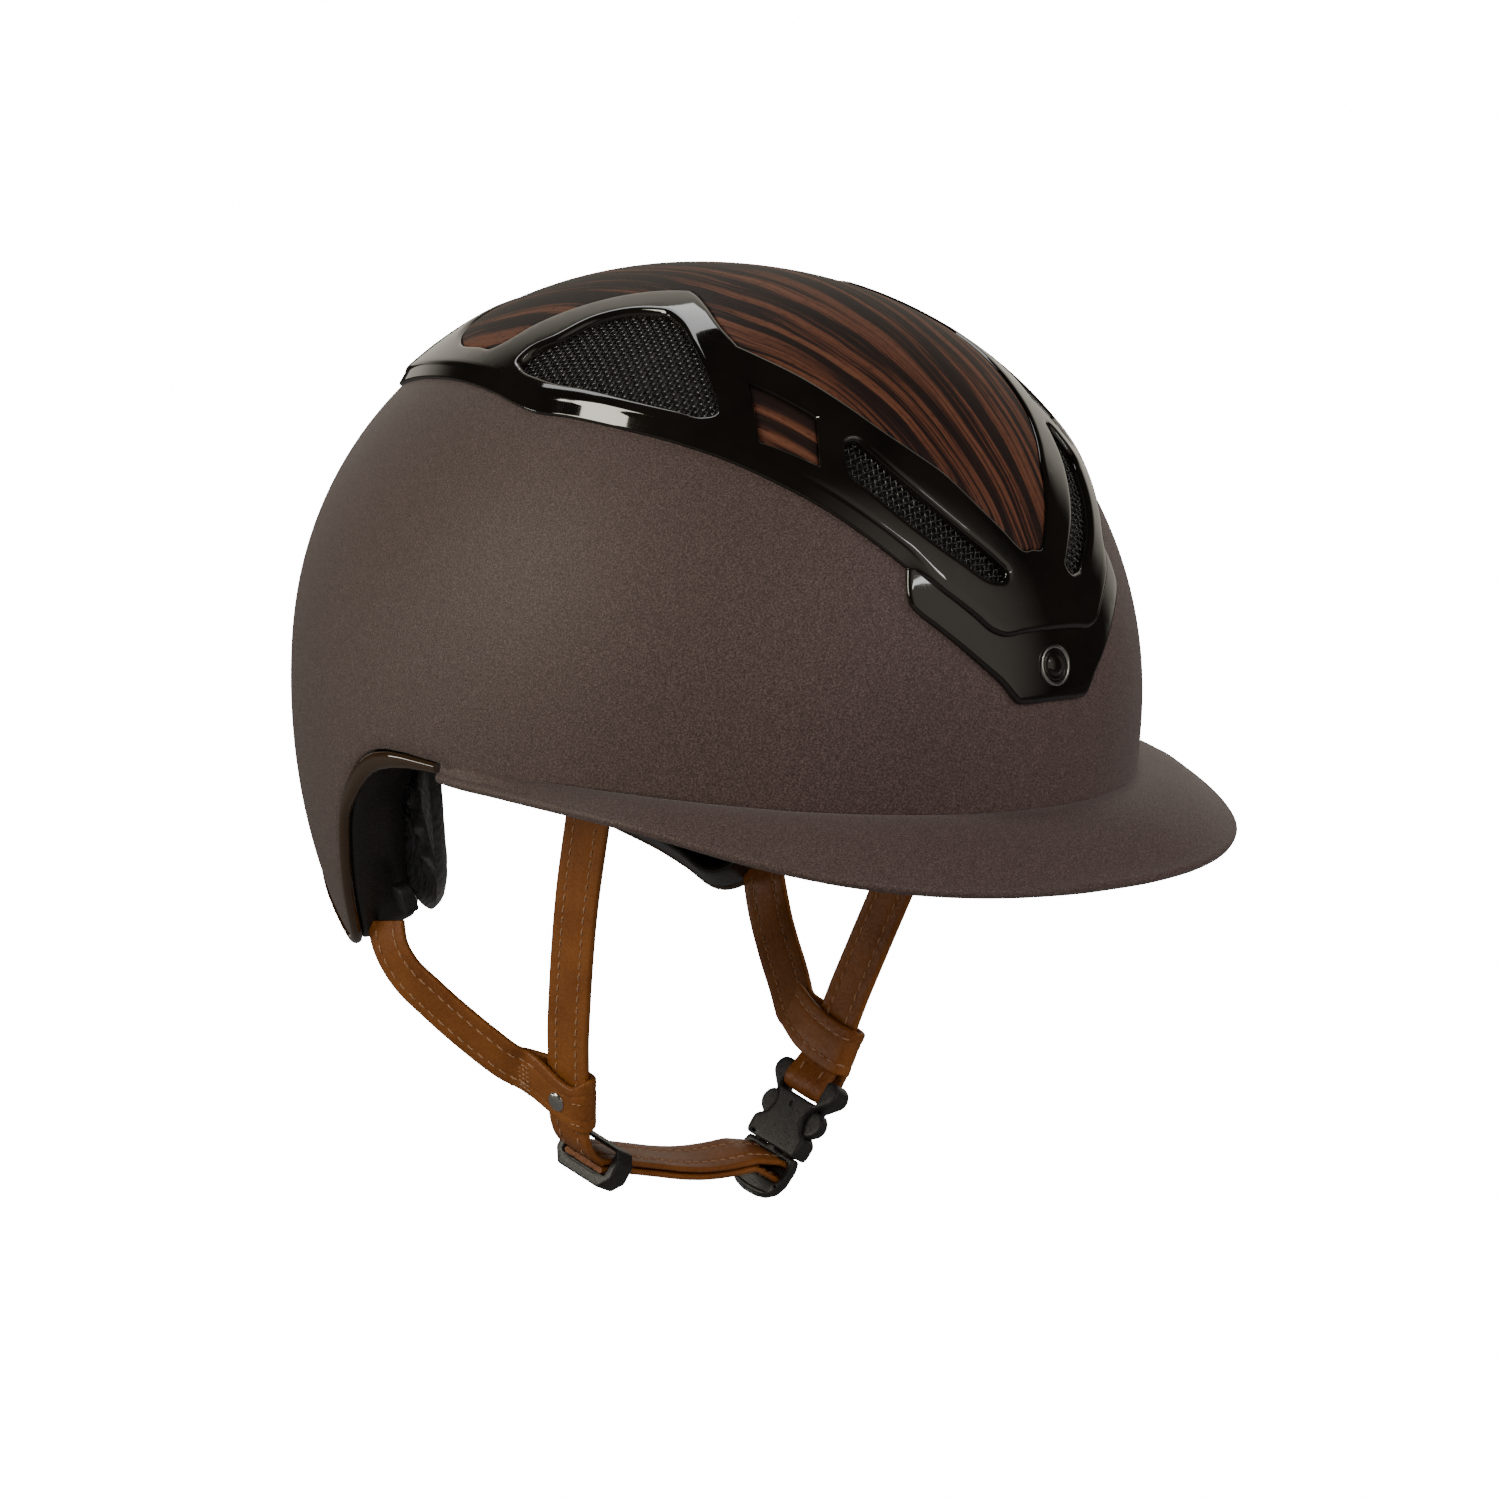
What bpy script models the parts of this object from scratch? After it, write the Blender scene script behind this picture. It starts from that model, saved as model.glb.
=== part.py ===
"""Equestrian riding helmet: shell with peak, gloss top frame, wood inlay, vents, liner, pads and harness.

Frame: +Z up, front towards -Y, the wearer's right towards -X. The origin is the middle of the head
opening, level with the crease between shell and peak. Lengths below are in millimetres until MM scales them.
"""

import math

import bpy
from mathutils import Matrix, Vector

MM = 0.001

# Driving dimensions of the shell's outer surface, a rounded dome about a centre above the origin
HALF_WIDTH = 109.3
HALF_FRONT = 130.0
HALF_BACK = 138.0
HEIGHT_UP = 117.0
HEIGHT_DOWN = 147.0
CENTRE_Z = 14.7
ROUNDNESS = 2.06

SHELL_THICKNESS = 2.2
LINER_LIFT = -3.3
LINER_THICKNESS = 15.5
PAD_LIFT = -20.6
PAD_THICKNESS = 5.0
FRAME_LIFT = 0.7
FRAME_THICKNESS = 2.2
PANEL_THICKNESS = 1.7
PLATE_THICKNESS = 1.2
MESH_LIFT = -1.8
MESH_THICKNESS = 1.2
GROWTH = 1.0

STRAP_WIDTH = 16.0
STRAP_THICKNESS = 2.2
CHIN_STRAP_THICKNESS = 1.8
CHIN_LAYER_GAP = 0.7

# Side view of the shell's lower edge: (y, z), straight at the front, arched over the ear, low at the nape
RIM = (
    (-140.0, -4.0), (-7.0, -4.0), (-2.0, 0.5), (14.0, 0.7), (28.0, -1.0), (37.0, -6.0), (44.0, -14.0),
    (50.0, -22.5), (53.5, -34.0), (58.0, -49.0), (62.5, -62.0), (68.0, -66.0), (140.0, -67.0),
)

# Headings of the columns from the ear to the middle of the nape, in degrees from the front
EDGE_HEADINGS = (90, 93, 96.5, 100, 103.5, 107, 110, 113, 116, 119, 122.5, 127, 132, 139, 147, 156, 168, 180)

# Outlines on the dome, as (sideways, fore-and-aft) angles in degrees from the crown, for the wearer's right
# half. Fore is negative. Each closed half outline runs from the front centre line to the rear one.
WOOD_HALF = (
    (0, -64), (-3, -63.5), (-9, -55), (-15, -44), (-19, -31), (-21.5, -21.5), (-19, -14.5), (-15.2, -4.5),
    (-20, 3.3), (-27, 10.6), (-33, 16), (-31, 25.5), (-24, 32), (-13, 35), (0, 35.6),
)
TRIM_HALF = (
    (0, -74.4), (-6, -74.3), (-11, -73.6), (-17, -68), (-22.5, -61.5), (-28.5, -51), (-34, -39), (-39, -26.5),
    (-42.6, -13.5), (-44.3, -1), (-43, 7), (-39.3, 18.5), (-35, 30), (-30, 40), (-21, 50), (-10, 56), (0, 58),
)
PLATE_HALF = ((0, -75.2), (-6.2, -75.1), (-11.4, -74.4), (-17.6, -68.7), (-23.2, -62.3), (-24.2, -66.2),
              (-17, -74.8), (-9.3, -82), (0, -83))
REAR_VENT = ((-36, 8.3), (-31, 4.7), (-26, 1.8), (-23, -2.5), (-21.9, -7.5), (-25.2, -15.8), (-29.2, -23.6),
             (-31.8, -27.9), (-33.8, -27.8), (-35.5, -23), (-37.6, -16), (-39.1, -6.5), (-39.3, 1.5), (-37.5, 7))
WINDOW = ((-25.4, -27.5), (-22.2, -37.8), (-26.6, -43.8), (-30.7, -36))
FRONT_VENT = ((-20.3, -43.3), (-18.9, -45.6), (-16.2, -53), (-12.2, -59.9), (-7.6, -65.7), (-7.4, -67.2),
              (-9.4, -67.2), (-14.2, -63.3), (-19, -57), (-22.4, -50.2), (-23.4, -47.6), (-22.4, -44.8))

# Right half of the peak's edge, (x, y, z), from the front centre to where the lip ends beside the ear
PEAK_EDGE = (
    (0, -157, -15.4), (25, -155.2, -15.2), (46, -150.5, -14.5), (66, -141.2, -13.1), (79, -131.2, -11.6),
    (89, -119, -9.8), (96.5, -106, -7.9), (103.5, -90, -5.4), (109.3, -75, -3.4), (111.3, -62, -2.9),
    (111.6, -48, -3.0), (111.2, -28, -3.3), (110.5, -8.5, -3.6),
)
PEAK_THICKNESS = 3.0
PEAK_ROOT_TOP = 1.6
PEAK_ROOT_BOTTOM = -5.0

# Harness, given for the wearer's left side: x is mirrored for the right
FRONT_STRAP_TOP = ((80.0, -37, 28), (78.6, -33.5, 14), (75, -28.5, 0), (70.5, -21.5, -20), (66.8, -15.7, -40),
                   (62.3, -10.4, -60), (57.6, -5.5, -80))
STRAIGHT_TOP = Vector((57.0, -5.1, -82.0))
STRAIGHT_END = Vector((51.4, -1.35, -103.6))
RIGHT_STRAIGHT_END = Vector((-48.9, 0.7, -109.6))
REAR_STRAP = ((76.2, 52.5, -60), (74.6, 48, -70), (69.6, 37.5, -79.5), (63.6, 25.5, -88.5), (59.0, 17.2, -94.6))
LEFT_REAR_STRAP_END = ((76.2, 52.5, -60), (74.4, 47.5, -69), (68.6, 36.5, -78), (62.5, 25, -86), (58.6, 17.0, -90.4))
OUTWARD = Vector((0.93, 0.0, -0.25))
KEEPER_WIDTH = 26.0
KEEPER_SETBACK = 2.6
KEEPER_HEIGHT = 13.5
KEEPER_WALL = 1.7
KEEPER_CLEARANCE = 0.8

# Buckle frame: the strap bar's middle, the pull direction and the width direction
BAR_CENTRE = Vector((49.0, 0.2, -110.6))
PULL = Vector((-0.445, 0.194, -0.874)).normalized()
ACROSS = Vector((0.0, -0.976, -0.217)).normalized()
INWARD = PULL.cross(ACROSS).normalized()
SOCKET_MOUTH = 21.5
SOCKET_THICKNESS = 7.0
CAVITY_HALF_WIDTH = 8.5
CAVITY_THICKNESS = 4.0
TONGUE_THICKNESS = 3.2
TONGUE_END = 36.5
LADDER_BAR = 28.7
LADDER_LOOP_RADIUS = 2.6
BAR_WRAP_RADIUS = 3.3

# Chin strap's middle line in the plane square to ACROSS: (x, height) from the ladder bar
CHIN_LINE = ((-76.5, 14.6), (-72.4, 12.5), (-63, 9.2), (-52.7, 7.2), (-40, 5.0), (-31.2, 4.2), (-20, 4.1), (-11, 4.4))
SLIDER_PLACE = 1


def clear_scene():
    for thing in list(bpy.data.objects):
        bpy.data.objects.remove(thing)


def collection(name):
    made = bpy.data.collections.new(name)
    bpy.context.scene.collection.children.link(made)
    return made


def material(name, colour, roughness, metallic=0.0):
    made = bpy.data.materials.new(name)
    made.use_nodes = True
    shader = made.node_tree.nodes["Principled BSDF"]
    shader.inputs["Base Color"].default_value = (*colour, 1.0)
    shader.inputs["Roughness"].default_value = roughness
    shader.inputs["Metallic"].default_value = metallic
    made.diffuse_color = (*colour, 1.0)
    return made


def mesh_object(name, points, faces, finish, home=None):
    """One object in the helmet's collection from points in millimetres."""
    mesh = bpy.data.meshes.new(name)
    mesh.from_pydata([tuple(Vector(p) * MM) for p in points], [], faces)
    mesh.validate()
    mesh.shade_smooth()
    mesh.set_sharp_from_angle(angle=math.radians(40))
    made = bpy.data.objects.new(name, mesh)
    (home or HELMET).objects.link(made)
    if finish:
        mesh.materials.append(finish)
    return made


def solidify(made, thickness, offset=-1.0):
    modifier = made.modifiers.new("Thickness", "SOLIDIFY")
    modifier.thickness = thickness * MM
    modifier.offset = offset
    modifier.use_even_offset = True
    return made


def boolean(made, cutter, operation="DIFFERENCE"):
    modifier = made.modifiers.new("Cut", "BOOLEAN")
    modifier.operation = operation
    modifier.solver = "EXACT"
    modifier.object = cutter
    return made


def hide_cutter(made):
    made.hide_render = True
    made.display_type = "WIRE"
    return made


def smooth_curve(points, steps, closed=False):
    """Points read from a Catmull-Rom curve through the given ones, `steps` to each span."""
    given = [Vector(p) for p in points]
    count = len(given)
    found = []
    for i in range(count if closed else count - 1):
        if closed:
            a, b, c, d = (given[(i + k - 1) % count] for k in range(4))
        else:
            b, c = given[i], given[i + 1]
            a = given[i - 1] if i > 0 else b * 2 - c
            d = given[i + 2] if i + 2 < count else c * 2 - b
        for k in range(steps):
            t = k / steps
            found.append(0.5 * (2 * b + (c - a) * t + (2 * a - 5 * b + 4 * c - d) * t * t
                                + (3 * b - a - 3 * c + d) * t ** 3))
    if not closed:
        found.append(given[-1])
    return found


def resample(points, count, closed=False):
    """`count` points evenly spaced along a chain of points."""
    chain = list(points) + ([points[0]] if closed else [])
    marks = [0.0]
    for p, q in zip(chain, chain[1:]):
        marks.append(marks[-1] + (Vector(q) - Vector(p)).length)
    found = []
    for i in range(count):
        target = marks[-1] * i / (count if closed else count - 1)
        k = max(j for j in range(len(chain) - 1) if marks[j] <= target + 1e-9)
        span = marks[k + 1] - marks[k]
        t = (target - marks[k]) / span if span else 0.0
        found.append(Vector(chain[k]).lerp(Vector(chain[k + 1]), t))
    return found


def dome_point(place, lift=0.0):
    """The point of the dome, raised by lift, seen from its centre at a place on the angle map, in degrees."""
    polar = math.radians(math.hypot(place[0], place[1]))
    heading = math.atan2(place[0], place[1])
    ray = Vector((math.sin(polar) * math.sin(heading), math.sin(polar) * math.cos(heading), math.cos(polar)))
    fore_aft = (HALF_BACK if ray.y > 0 else HALF_FRONT) + lift
    upright = (HEIGHT_UP if ray.z > 0 else HEIGHT_DOWN) + lift
    level = math.hypot(ray.x / (HALF_WIDTH + lift), ray.y / fore_aft)
    reach = (level ** ROUNDNESS + abs(ray.z / upright) ** ROUNDNESS) ** (-1 / ROUNDNESS)
    return Vector((0, 0, CENTRE_Z)) + ray * reach


def dome_normal(point):
    """Outward direction of the dome at a point on or near it."""
    z = point.z - CENTRE_Z
    fore_aft = HALF_BACK if point.y > 0 else HALF_FRONT
    upright = HEIGHT_UP if z > 0 else HEIGHT_DOWN
    level = math.hypot(point.x / HALF_WIDTH, point.y / fore_aft)
    side = level ** (ROUNDNESS - 2)
    rise = math.copysign(abs(z / upright) ** (ROUNDNESS - 1), z) / upright
    return Vector((side * point.x / HALF_WIDTH ** 2, side * point.y / fore_aft ** 2, rise)).normalized()


def map_place(heading, polar):
    """Angle-map place of a heading in degrees from the front, positive to the wearer's left."""
    turn = math.radians(heading)
    return polar * math.sin(turn), -polar * math.cos(turn)


def rim_height(y, shift_y=0.0, shift_z=0.0):
    for (y0, z0), (y1, z1) in zip(RIM, RIM[1:]):
        if y - shift_y <= y1:
            return z0 + (z1 - z0) * (y - shift_y - y0) / (y1 - y0) + shift_z
    return RIM[-1][1] + shift_z


def rim_polar(heading, lift=0.0, shift_y=0.0, shift_z=0.0):
    """Polar angle at which the dome meets the lower edge, found by halving."""
    low, high = 60.0, 150.0
    for _ in range(30):
        middle = (low + high) / 2
        point = dome_point(map_place(heading, middle), lift)
        if point.z > rim_height(point.y, shift_y, shift_z):
            low = middle
        else:
            high = middle
    return (low + high) / 2


def column_headings():
    """Headings of the shell's columns: even at the front, close together over the ear."""
    right = [i * 9.0 for i in range(10)] + list(EDGE_HEADINGS)
    return right + [-h for h in reversed(right[1:-1])]


def domed_shell(name, lift, thickness, rows, finish, shift_y=0.0, shift_z=0.0):
    """A dome from the crown down to the lower edge, as an open surface with thickness."""
    headings = column_headings()
    points = [dome_point((0, 0), lift)]
    for heading in headings:
        end = rim_polar(heading, lift, shift_y, shift_z)
        points += [dome_point(map_place(heading, end * k / rows), lift) for k in range(1, rows + 1)]
    faces = []
    for i in range(len(headings)):
        j = (i + 1) % len(headings)
        faces.append((0, 1 + i * rows, 1 + j * rows))
        for k in range(rows - 1):
            a, b = 1 + i * rows + k, 1 + j * rows + k
            faces.append((a, a + 1, b + 1, b))
    return solidify(mesh_object(name, points, faces, finish), thickness)


def mirrored(outline):
    return [(-u, v) for u, v in reversed(outline)]


def whole_loop(half):
    """A closed outline, mirror-symmetric, from a half that starts and ends on the centre line."""
    return list(half) + mirrored(half)[1:-1]


def grown(outline, amount):
    """A closed outline moved outwards by about `amount` degrees; negative shrinks it."""
    count = len(outline)
    area = sum(outline[i][0] * outline[(i + 1) % count][1] - outline[(i + 1) % count][0] * outline[i][1]
               for i in range(count))
    turn = 1 if area > 0 else -1
    found = []
    for i in range(count):
        before, here, after = (Vector(outline[(i + k) % count]) for k in (-1, 0, 1))
        edges = [(here - before).normalized(), (after - here).normalized()]
        out = sum((Vector((e.y, -e.x)) for e in edges), Vector((0, 0))) * turn
        out.normalize()
        square = Vector((edges[0].y, -edges[0].x)) * turn
        found.append(tuple(here + out * (amount / max(0.5, out.dot(square)))))
    return found


def star_patch(name, outline, middle, lift, thickness, rings, finish):
    """A patch of the dome inside an outline, with rings that shrink towards a middle place."""
    count = len(outline)
    points = [dome_point(middle, lift)]
    for ring in range(1, rings + 1):
        share = ring / rings
        points += [dome_point((middle[0] + (u - middle[0]) * share, middle[1] + (v - middle[1]) * share), lift)
                   for u, v in outline]
    faces = []
    for i in range(count):
        j = (i + 1) % count
        faces.append((0, 1 + i, 1 + j))
        for ring in range(rings - 1):
            a, b = 1 + ring * count + i, 1 + ring * count + j
            faces.append((a, a + count, b + count, b))
    return solidify(facing_out(mesh_object(name, points, faces, finish)), thickness)


def facing_out(made):
    """Turns an open surface so that its faces look away from the dome's centre."""
    centre = Vector((0, 0, CENTRE_Z)) * MM
    polygon = made.data.polygons[len(made.data.polygons) // 2]
    if polygon.normal.dot(polygon.center - centre) < 0:
        made.data.flip_normals()
    return made


def band_patch(name, headings, polars, lift, thickness, finish, columns=8, rows=4):
    """A padded strip between two headings and two polar angles."""
    points = []
    for i in range(columns + 1):
        heading = headings[0] + (headings[1] - headings[0]) * i / columns
        for k in range(rows + 1):
            polar = polars[0] + (polars[1] - polars[0]) * k / rows
            points.append(dome_point(map_place(heading, polar), lift))
    faces = []
    for i in range(columns):
        for k in range(rows):
            a = i * (rows + 1) + k
            faces.append((a, a + 1, a + rows + 2, a + rows + 1))
    return solidify(facing_out(mesh_object(name, points, faces, finish)), thickness)


def prism_cutter(name, outline, low, high):
    """A closed cutter through the dome inside an outline, from one lift to another."""
    count = len(outline)
    points = [dome_point(p, low) for p in outline] + [dome_point(p, high) for p in outline]
    faces = [tuple(range(count)), tuple(reversed(range(count, 2 * count)))]
    faces += [(i, i + count, (i + 1) % count + count, (i + 1) % count) for i in range(count)]
    made = mesh_object(name, points, faces, None, CUTTERS)
    if signed_volume(made) < 0:
        made.data.flip_normals()
    return hide_cutter(made)


def signed_volume(made):
    made.data.calc_loop_triangles()
    place = [v.co for v in made.data.vertices]
    return sum(place[t.vertices[0]].dot(place[t.vertices[1]].cross(place[t.vertices[2]]))
               for t in made.data.loop_triangles)


def sweep(name, sections, finish, closed=False):
    """A solid through a row of matching closed sections."""
    count = len(sections[0])
    points = [p for section in sections for p in section]
    last = len(sections) if closed else len(sections) - 1
    faces = []
    for i in range(last):
        j = (i + 1) % len(sections)
        for k in range(count):
            m = (k + 1) % count
            faces.append((i * count + k, i * count + m, j * count + m, j * count + k))
    if not closed:
        faces.append(tuple(reversed(range(count))))
        faces.append(tuple(range((len(sections) - 1) * count, len(sections) * count)))
    made = mesh_object(name, points, faces, finish)
    if signed_volume(made) < 0:
        made.data.flip_normals()
    return made


def tangents(path):
    last = len(path) - 1
    return [(path[min(i + 1, last)] - path[max(i - 1, 0)]).normalized() for i in range(last + 1)]


def ribbon(name, path, widths, width, thickness, finish):
    """A flat strap along a path; widths gives the direction across it at each point."""
    sections = []
    for place, along, across in zip(path, tangents(path), widths):
        side = (across - along * across.dot(along)).normalized() * (width / 2)
        out = side.cross(along).normalized() * (thickness / 2)
        sections.append([place + side + out, place - side + out, place - side - out, place + side - out])
    return sweep(name, sections, finish)


def widths_facing(path, outward):
    """Directions across a strap whose face looks along outward."""
    return [along.cross(outward).normalized() for along in tangents(path)]


def plate(name, origin, axes, outline, low, high, finish, home=None):
    """A flat outline in a plane, made thick along the plane's normal: axes are (across, along, normal)."""
    across, along, normal = axes
    count = len(outline)
    points = [origin + across * x + along * y + normal * h for h in (low, high) for x, y in outline]
    faces = [tuple(reversed(range(count))), tuple(range(count, 2 * count))]
    faces += [(i, (i + 1) % count, (i + 1) % count + count, i + count) for i in range(count)]
    made = mesh_object(name, points, faces, finish, home)
    if signed_volume(made) < 0:
        made.data.flip_normals()
    return made


def round_piece(name, origin, axis, radius, height, finish, sides=16, home=None):
    """A short cylinder standing on a point along an axis."""
    up = axis.normalized()
    side = up.orthogonal().normalized()
    other = up.cross(side)
    ring = [(math.cos(2 * math.pi * i / sides) * radius, math.sin(2 * math.pi * i / sides) * radius)
            for i in range(sides)]
    return plate(name, origin, (side, other, up), ring, 0.0, height, finish, home)


def arc(centre, radius, start, end, steps):
    return [(centre[0] + radius * math.cos(math.radians(start + (end - start) * i / steps)),
             centre[1] + radius * math.sin(math.radians(start + (end - start) * i / steps)))
            for i in range(steps + 1)]


def mirror_x(points):
    return [Vector((-Vector(p).x, Vector(p).y, Vector(p).z)) for p in points]


def fine_outline(outline, count, closed=True):
    smooth = smooth_curve([(u, v, 0) for u, v in outline], 6, closed)
    return [(p.x, p.y) for p in resample(smooth, count, closed)]


def make_shell():
    shell = domed_shell("outer_shell", 0.0, SHELL_THICKNESS, 14, BROWN)
    for side, turn in (("right", list), ("left", mirrored)):
        for label, outline in (("rear", REAR_VENT), ("front", FRONT_VENT)):
            cutter = prism_cutter(f"shell_{label}_vent_{side}", grown(turn(outline), GROWTH), -6.0, 5.0)
            boolean(shell, cutter)


def make_top_frame():
    """A ring between the wood inlay and the outer edge, pierced for vents and windows."""
    inner = whole_loop(fine_outline(WOOD_HALF, 26, False))
    outer = whole_loop(fine_outline(TRIM_HALF, 26, False))
    count, rings = len(inner), 5
    points = []
    for ring in range(rings + 1):
        share = ring / rings
        points += [dome_point(Vector(a).lerp(Vector(b), share), FRAME_LIFT + FRAME_THICKNESS)
                   for a, b in zip(inner, outer)]
    faces = [(r * count + i, (r + 1) * count + i, (r + 1) * count + (i + 1) % count, r * count + (i + 1) % count)
             for r in range(rings) for i in range(count)]
    frame = solidify(facing_out(mesh_object("top_frame", points, faces, GLOSS_BLACK)), FRAME_THICKNESS)
    for side, turn in (("right", list), ("left", mirrored)):
        for label, outline in (("rear", REAR_VENT), ("front", FRONT_VENT), ("window", WINDOW)):
            boolean(frame, prism_cutter(f"frame_{label}_{side}", turn(outline), -1.0, 8.0))


def make_wood():
    """The inlay in rows from its front tip to its rear edge, and a small inlay behind each window."""
    half = fine_outline(WOOD_HALF, 26, False)
    loop = grown(whole_loop(half), -0.35)
    lift = FRAME_LIFT + PANEL_THICKNESS
    across, rows = 10, 24
    points = []
    for u, v in loop[1:rows + 1]:
        points += [dome_point((u - 2 * u * k / (across - 1), v), lift) for k in range(across)]
    corners = [(r * across + k, k) for r in range(rows - 1) for k in range(across - 1)]
    faces = [(a, a + 1, a + 1 + across, a + across) for a, k in corners]
    for end, row in ((0, 0), (rows + 1, rows - 1)):
        points.append(dome_point((0, loop[end][1]), lift))
        for k in range(across - 1):
            pair = (row * across + k, row * across + k + 1)
            faces.append((*(reversed(pair) if row == 0 else pair), len(points) - 1))
    solidify(facing_out(mesh_object("wood_panel", points, faces, WOOD)), PANEL_THICKNESS)
    for side, turn in (("right", list), ("left", mirrored)):
        window = grown(turn(WINDOW), -0.3)
        middle = sum((Vector(p) for p in window), Vector((0, 0))) / len(window)
        star_patch(f"window_inlay_{side}", window, middle, FRAME_LIFT + 1.2, 1.2, 2, WOOD)


def make_vent_meshes():
    for side, turn in (("right", list), ("left", mirrored)):
        for label, outline, middle in (("rear", REAR_VENT, (-32, -10)), ("front", FRONT_VENT, (-18, -54))):
            insert = grown(turn(outline), GROWTH - 0.35)
            centre = middle if side == "right" else (-middle[0], middle[1])
            star_patch(f"{label}_vent_mesh_{side}", insert, centre, MESH_LIFT + MESH_THICKNESS, MESH_THICKNESS,
                       2, DARK_METAL)


def make_badge():
    """Lower front plate below the frame's tip, with a plain round boss and its ring."""
    upper = [(u, v) for u, v in PLATE_HALF[:5]]
    lower = resample([(0, -83), (-9.3, -82), (-17, -74.8), (-24.2, -66.2)], 9)
    top = resample(upper, 9)
    columns = [(Vector(a), Vector(b)) for a, b in zip(top, lower)]
    columns = [(Vector((-a.x, a.y)), Vector((-b.x, b.y))) for a, b in reversed(columns[1:])] + columns
    rows = 2
    points = [dome_point(a.lerp(b, r / rows), FRAME_LIFT + PLATE_THICKNESS) for a, b in columns
              for r in range(rows + 1)]
    faces = [(i * (rows + 1) + r, i * (rows + 1) + r + 1, (i + 1) * (rows + 1) + r + 1, (i + 1) * (rows + 1) + r)
             for i in range(len(columns) - 1) for r in range(rows)]
    solidify(facing_out(mesh_object("badge_plate", points, faces, GLOSS_BLACK)), PLATE_THICKNESS)
    seat = dome_point((0, -78.6), FRAME_LIFT + PLATE_THICKNESS + 0.35)
    out = dome_normal(seat)
    ring = round_piece("badge_ring", seat, out, 5.6, 1.0, STEEL, 24)
    hole = round_piece("badge_ring_hole", seat - out * 2, out, 4.5, 5.0, None, 24, CUTTERS)
    boolean(ring, hide_cutter(hole))
    round_piece("badge_boss", seat, out, 4.1, 0.7, GLOSS_BLACK, 20)


def peak_section(edge, heading_point):
    """Closed section of the peak from the shell's wall out to the edge and back underneath."""
    root = heading_point.copy()
    level = Vector((edge.x - root.x, edge.y - root.y, 0.0))
    reach = level.length
    out = level.normalized()
    top_drop = PEAK_ROOT_TOP - (edge.z + PEAK_THICKNESS / 2)
    bulge = min(2.2, reach * 0.08)

    def top(share):
        height = PEAK_ROOT_TOP - top_drop * share ** 1.25 + bulge * math.sin(math.pi * share)
        return root + out * (reach * share) + Vector((0, 0, height))

    def under(share):
        height = PEAK_ROOT_BOTTOM + (edge.z - PEAK_THICKNESS / 2 - PEAK_ROOT_BOTTOM) * share
        height = min(height, top(share).z - PEAK_THICKNESS * 0.9)
        return root + out * (reach * share) + Vector((0, 0, height))

    tip = root + out * (reach + 0.5) + Vector((0, 0, edge.z))
    return [top(0.0), top(0.35), top(0.7), top(0.96), tip, under(0.94), under(0.6), under(0.0)]


def make_peak():
    right = resample(smooth_curve(PEAK_EDGE, 5), 25)
    edge = mirror_x(reversed(right[1:])) + right
    sections = []
    for place in edge:
        heading = math.degrees(math.atan2(place.x, -place.y * HALF_WIDTH / HALF_FRONT))
        side = math.radians(heading)
        root = Vector((math.sin(side) * (HALF_WIDTH + 0.5), -math.cos(side) * (HALF_FRONT + 0.5), 0.0))
        sections.append(peak_section(place, root))
    sweep("peak", sections, BROWN)


def rim_frames():
    """Place, outward and downward directions along the lower edge from the right ear round to the left."""
    headings = [-h for h in EDGE_HEADINGS[1:]]
    headings += [-h for h in reversed(headings[:-1])]
    places = [dome_point(map_place(h, rim_polar(h))) for h in headings]
    frames = []
    for place, along in zip(places, tangents(places)):
        out = dome_normal(place)
        down = out.cross(along).normalized()
        if down.z > 0 and abs(place.y) > 80:
            down = -down
        frames.append((place, out, down))
    if frames[len(frames) // 2][2].z > 0:
        frames = [(place, out, -down) for place, out, down in frames]
    return frames


def rim_sweep(name, section, finish):
    """A strip along the shell's lower edge; section points are (down past the edge, out from the surface)."""
    sections = [[place + down * m + out * n for m, n in section] for place, out, down in rim_frames()]
    return sweep(name, sections, finish)


def make_rim_trims():
    rim_sweep("ear_edge_trim", [(0.4, 0.8), (3.0, 0.8), (3.0, -2.2), (0.4, -2.2)], BRONZE)
    rim_sweep("inner_rim", [(0.8, -2.6), (2.7, -2.6), (2.7, -19.0), (0.8, -19.0)], GLOSS_BLACK)


def make_liner():
    domed_shell("impact_liner", LINER_LIFT, LINER_THICKNESS, 10, FOAM, shift_y=3.5, shift_z=3.5)


def make_pads():
    crown = [(math.cos(2 * math.pi * i / 20) * 27, math.sin(2 * math.pi * i / 20) * 36 + 2) for i in range(20)]
    star_patch("crown_pad", crown, (0, 2), PAD_LIFT, PAD_THICKNESS, 3, FABRIC)
    band_patch("brow_pad", (-57, 57), (68, 95), PAD_LIFT, PAD_THICKNESS, FABRIC, 14, 3)
    for side, sign in (("right", -1), ("left", 1)):
        band_patch(f"side_pad_{side}", (sign * 80, sign * 108), (66, 89), PAD_LIFT, PAD_THICKNESS, FABRIC, 4, 3)
        band_patch(f"nape_pad_{side}", (sign * 112, sign * 162), (94, 127), PAD_LIFT - 1.0, 6.0, FABRIC, 6, 5)


def turn_points(centre, start, side, radius, steps=8):
    """Half a turn round a bar: from one side of it, through the start direction, to the other."""
    return [centre + (side * math.cos(math.pi * i / steps) + start * math.sin(math.pi * i / steps)) * radius
            for i in range(steps + 1)]


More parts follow.
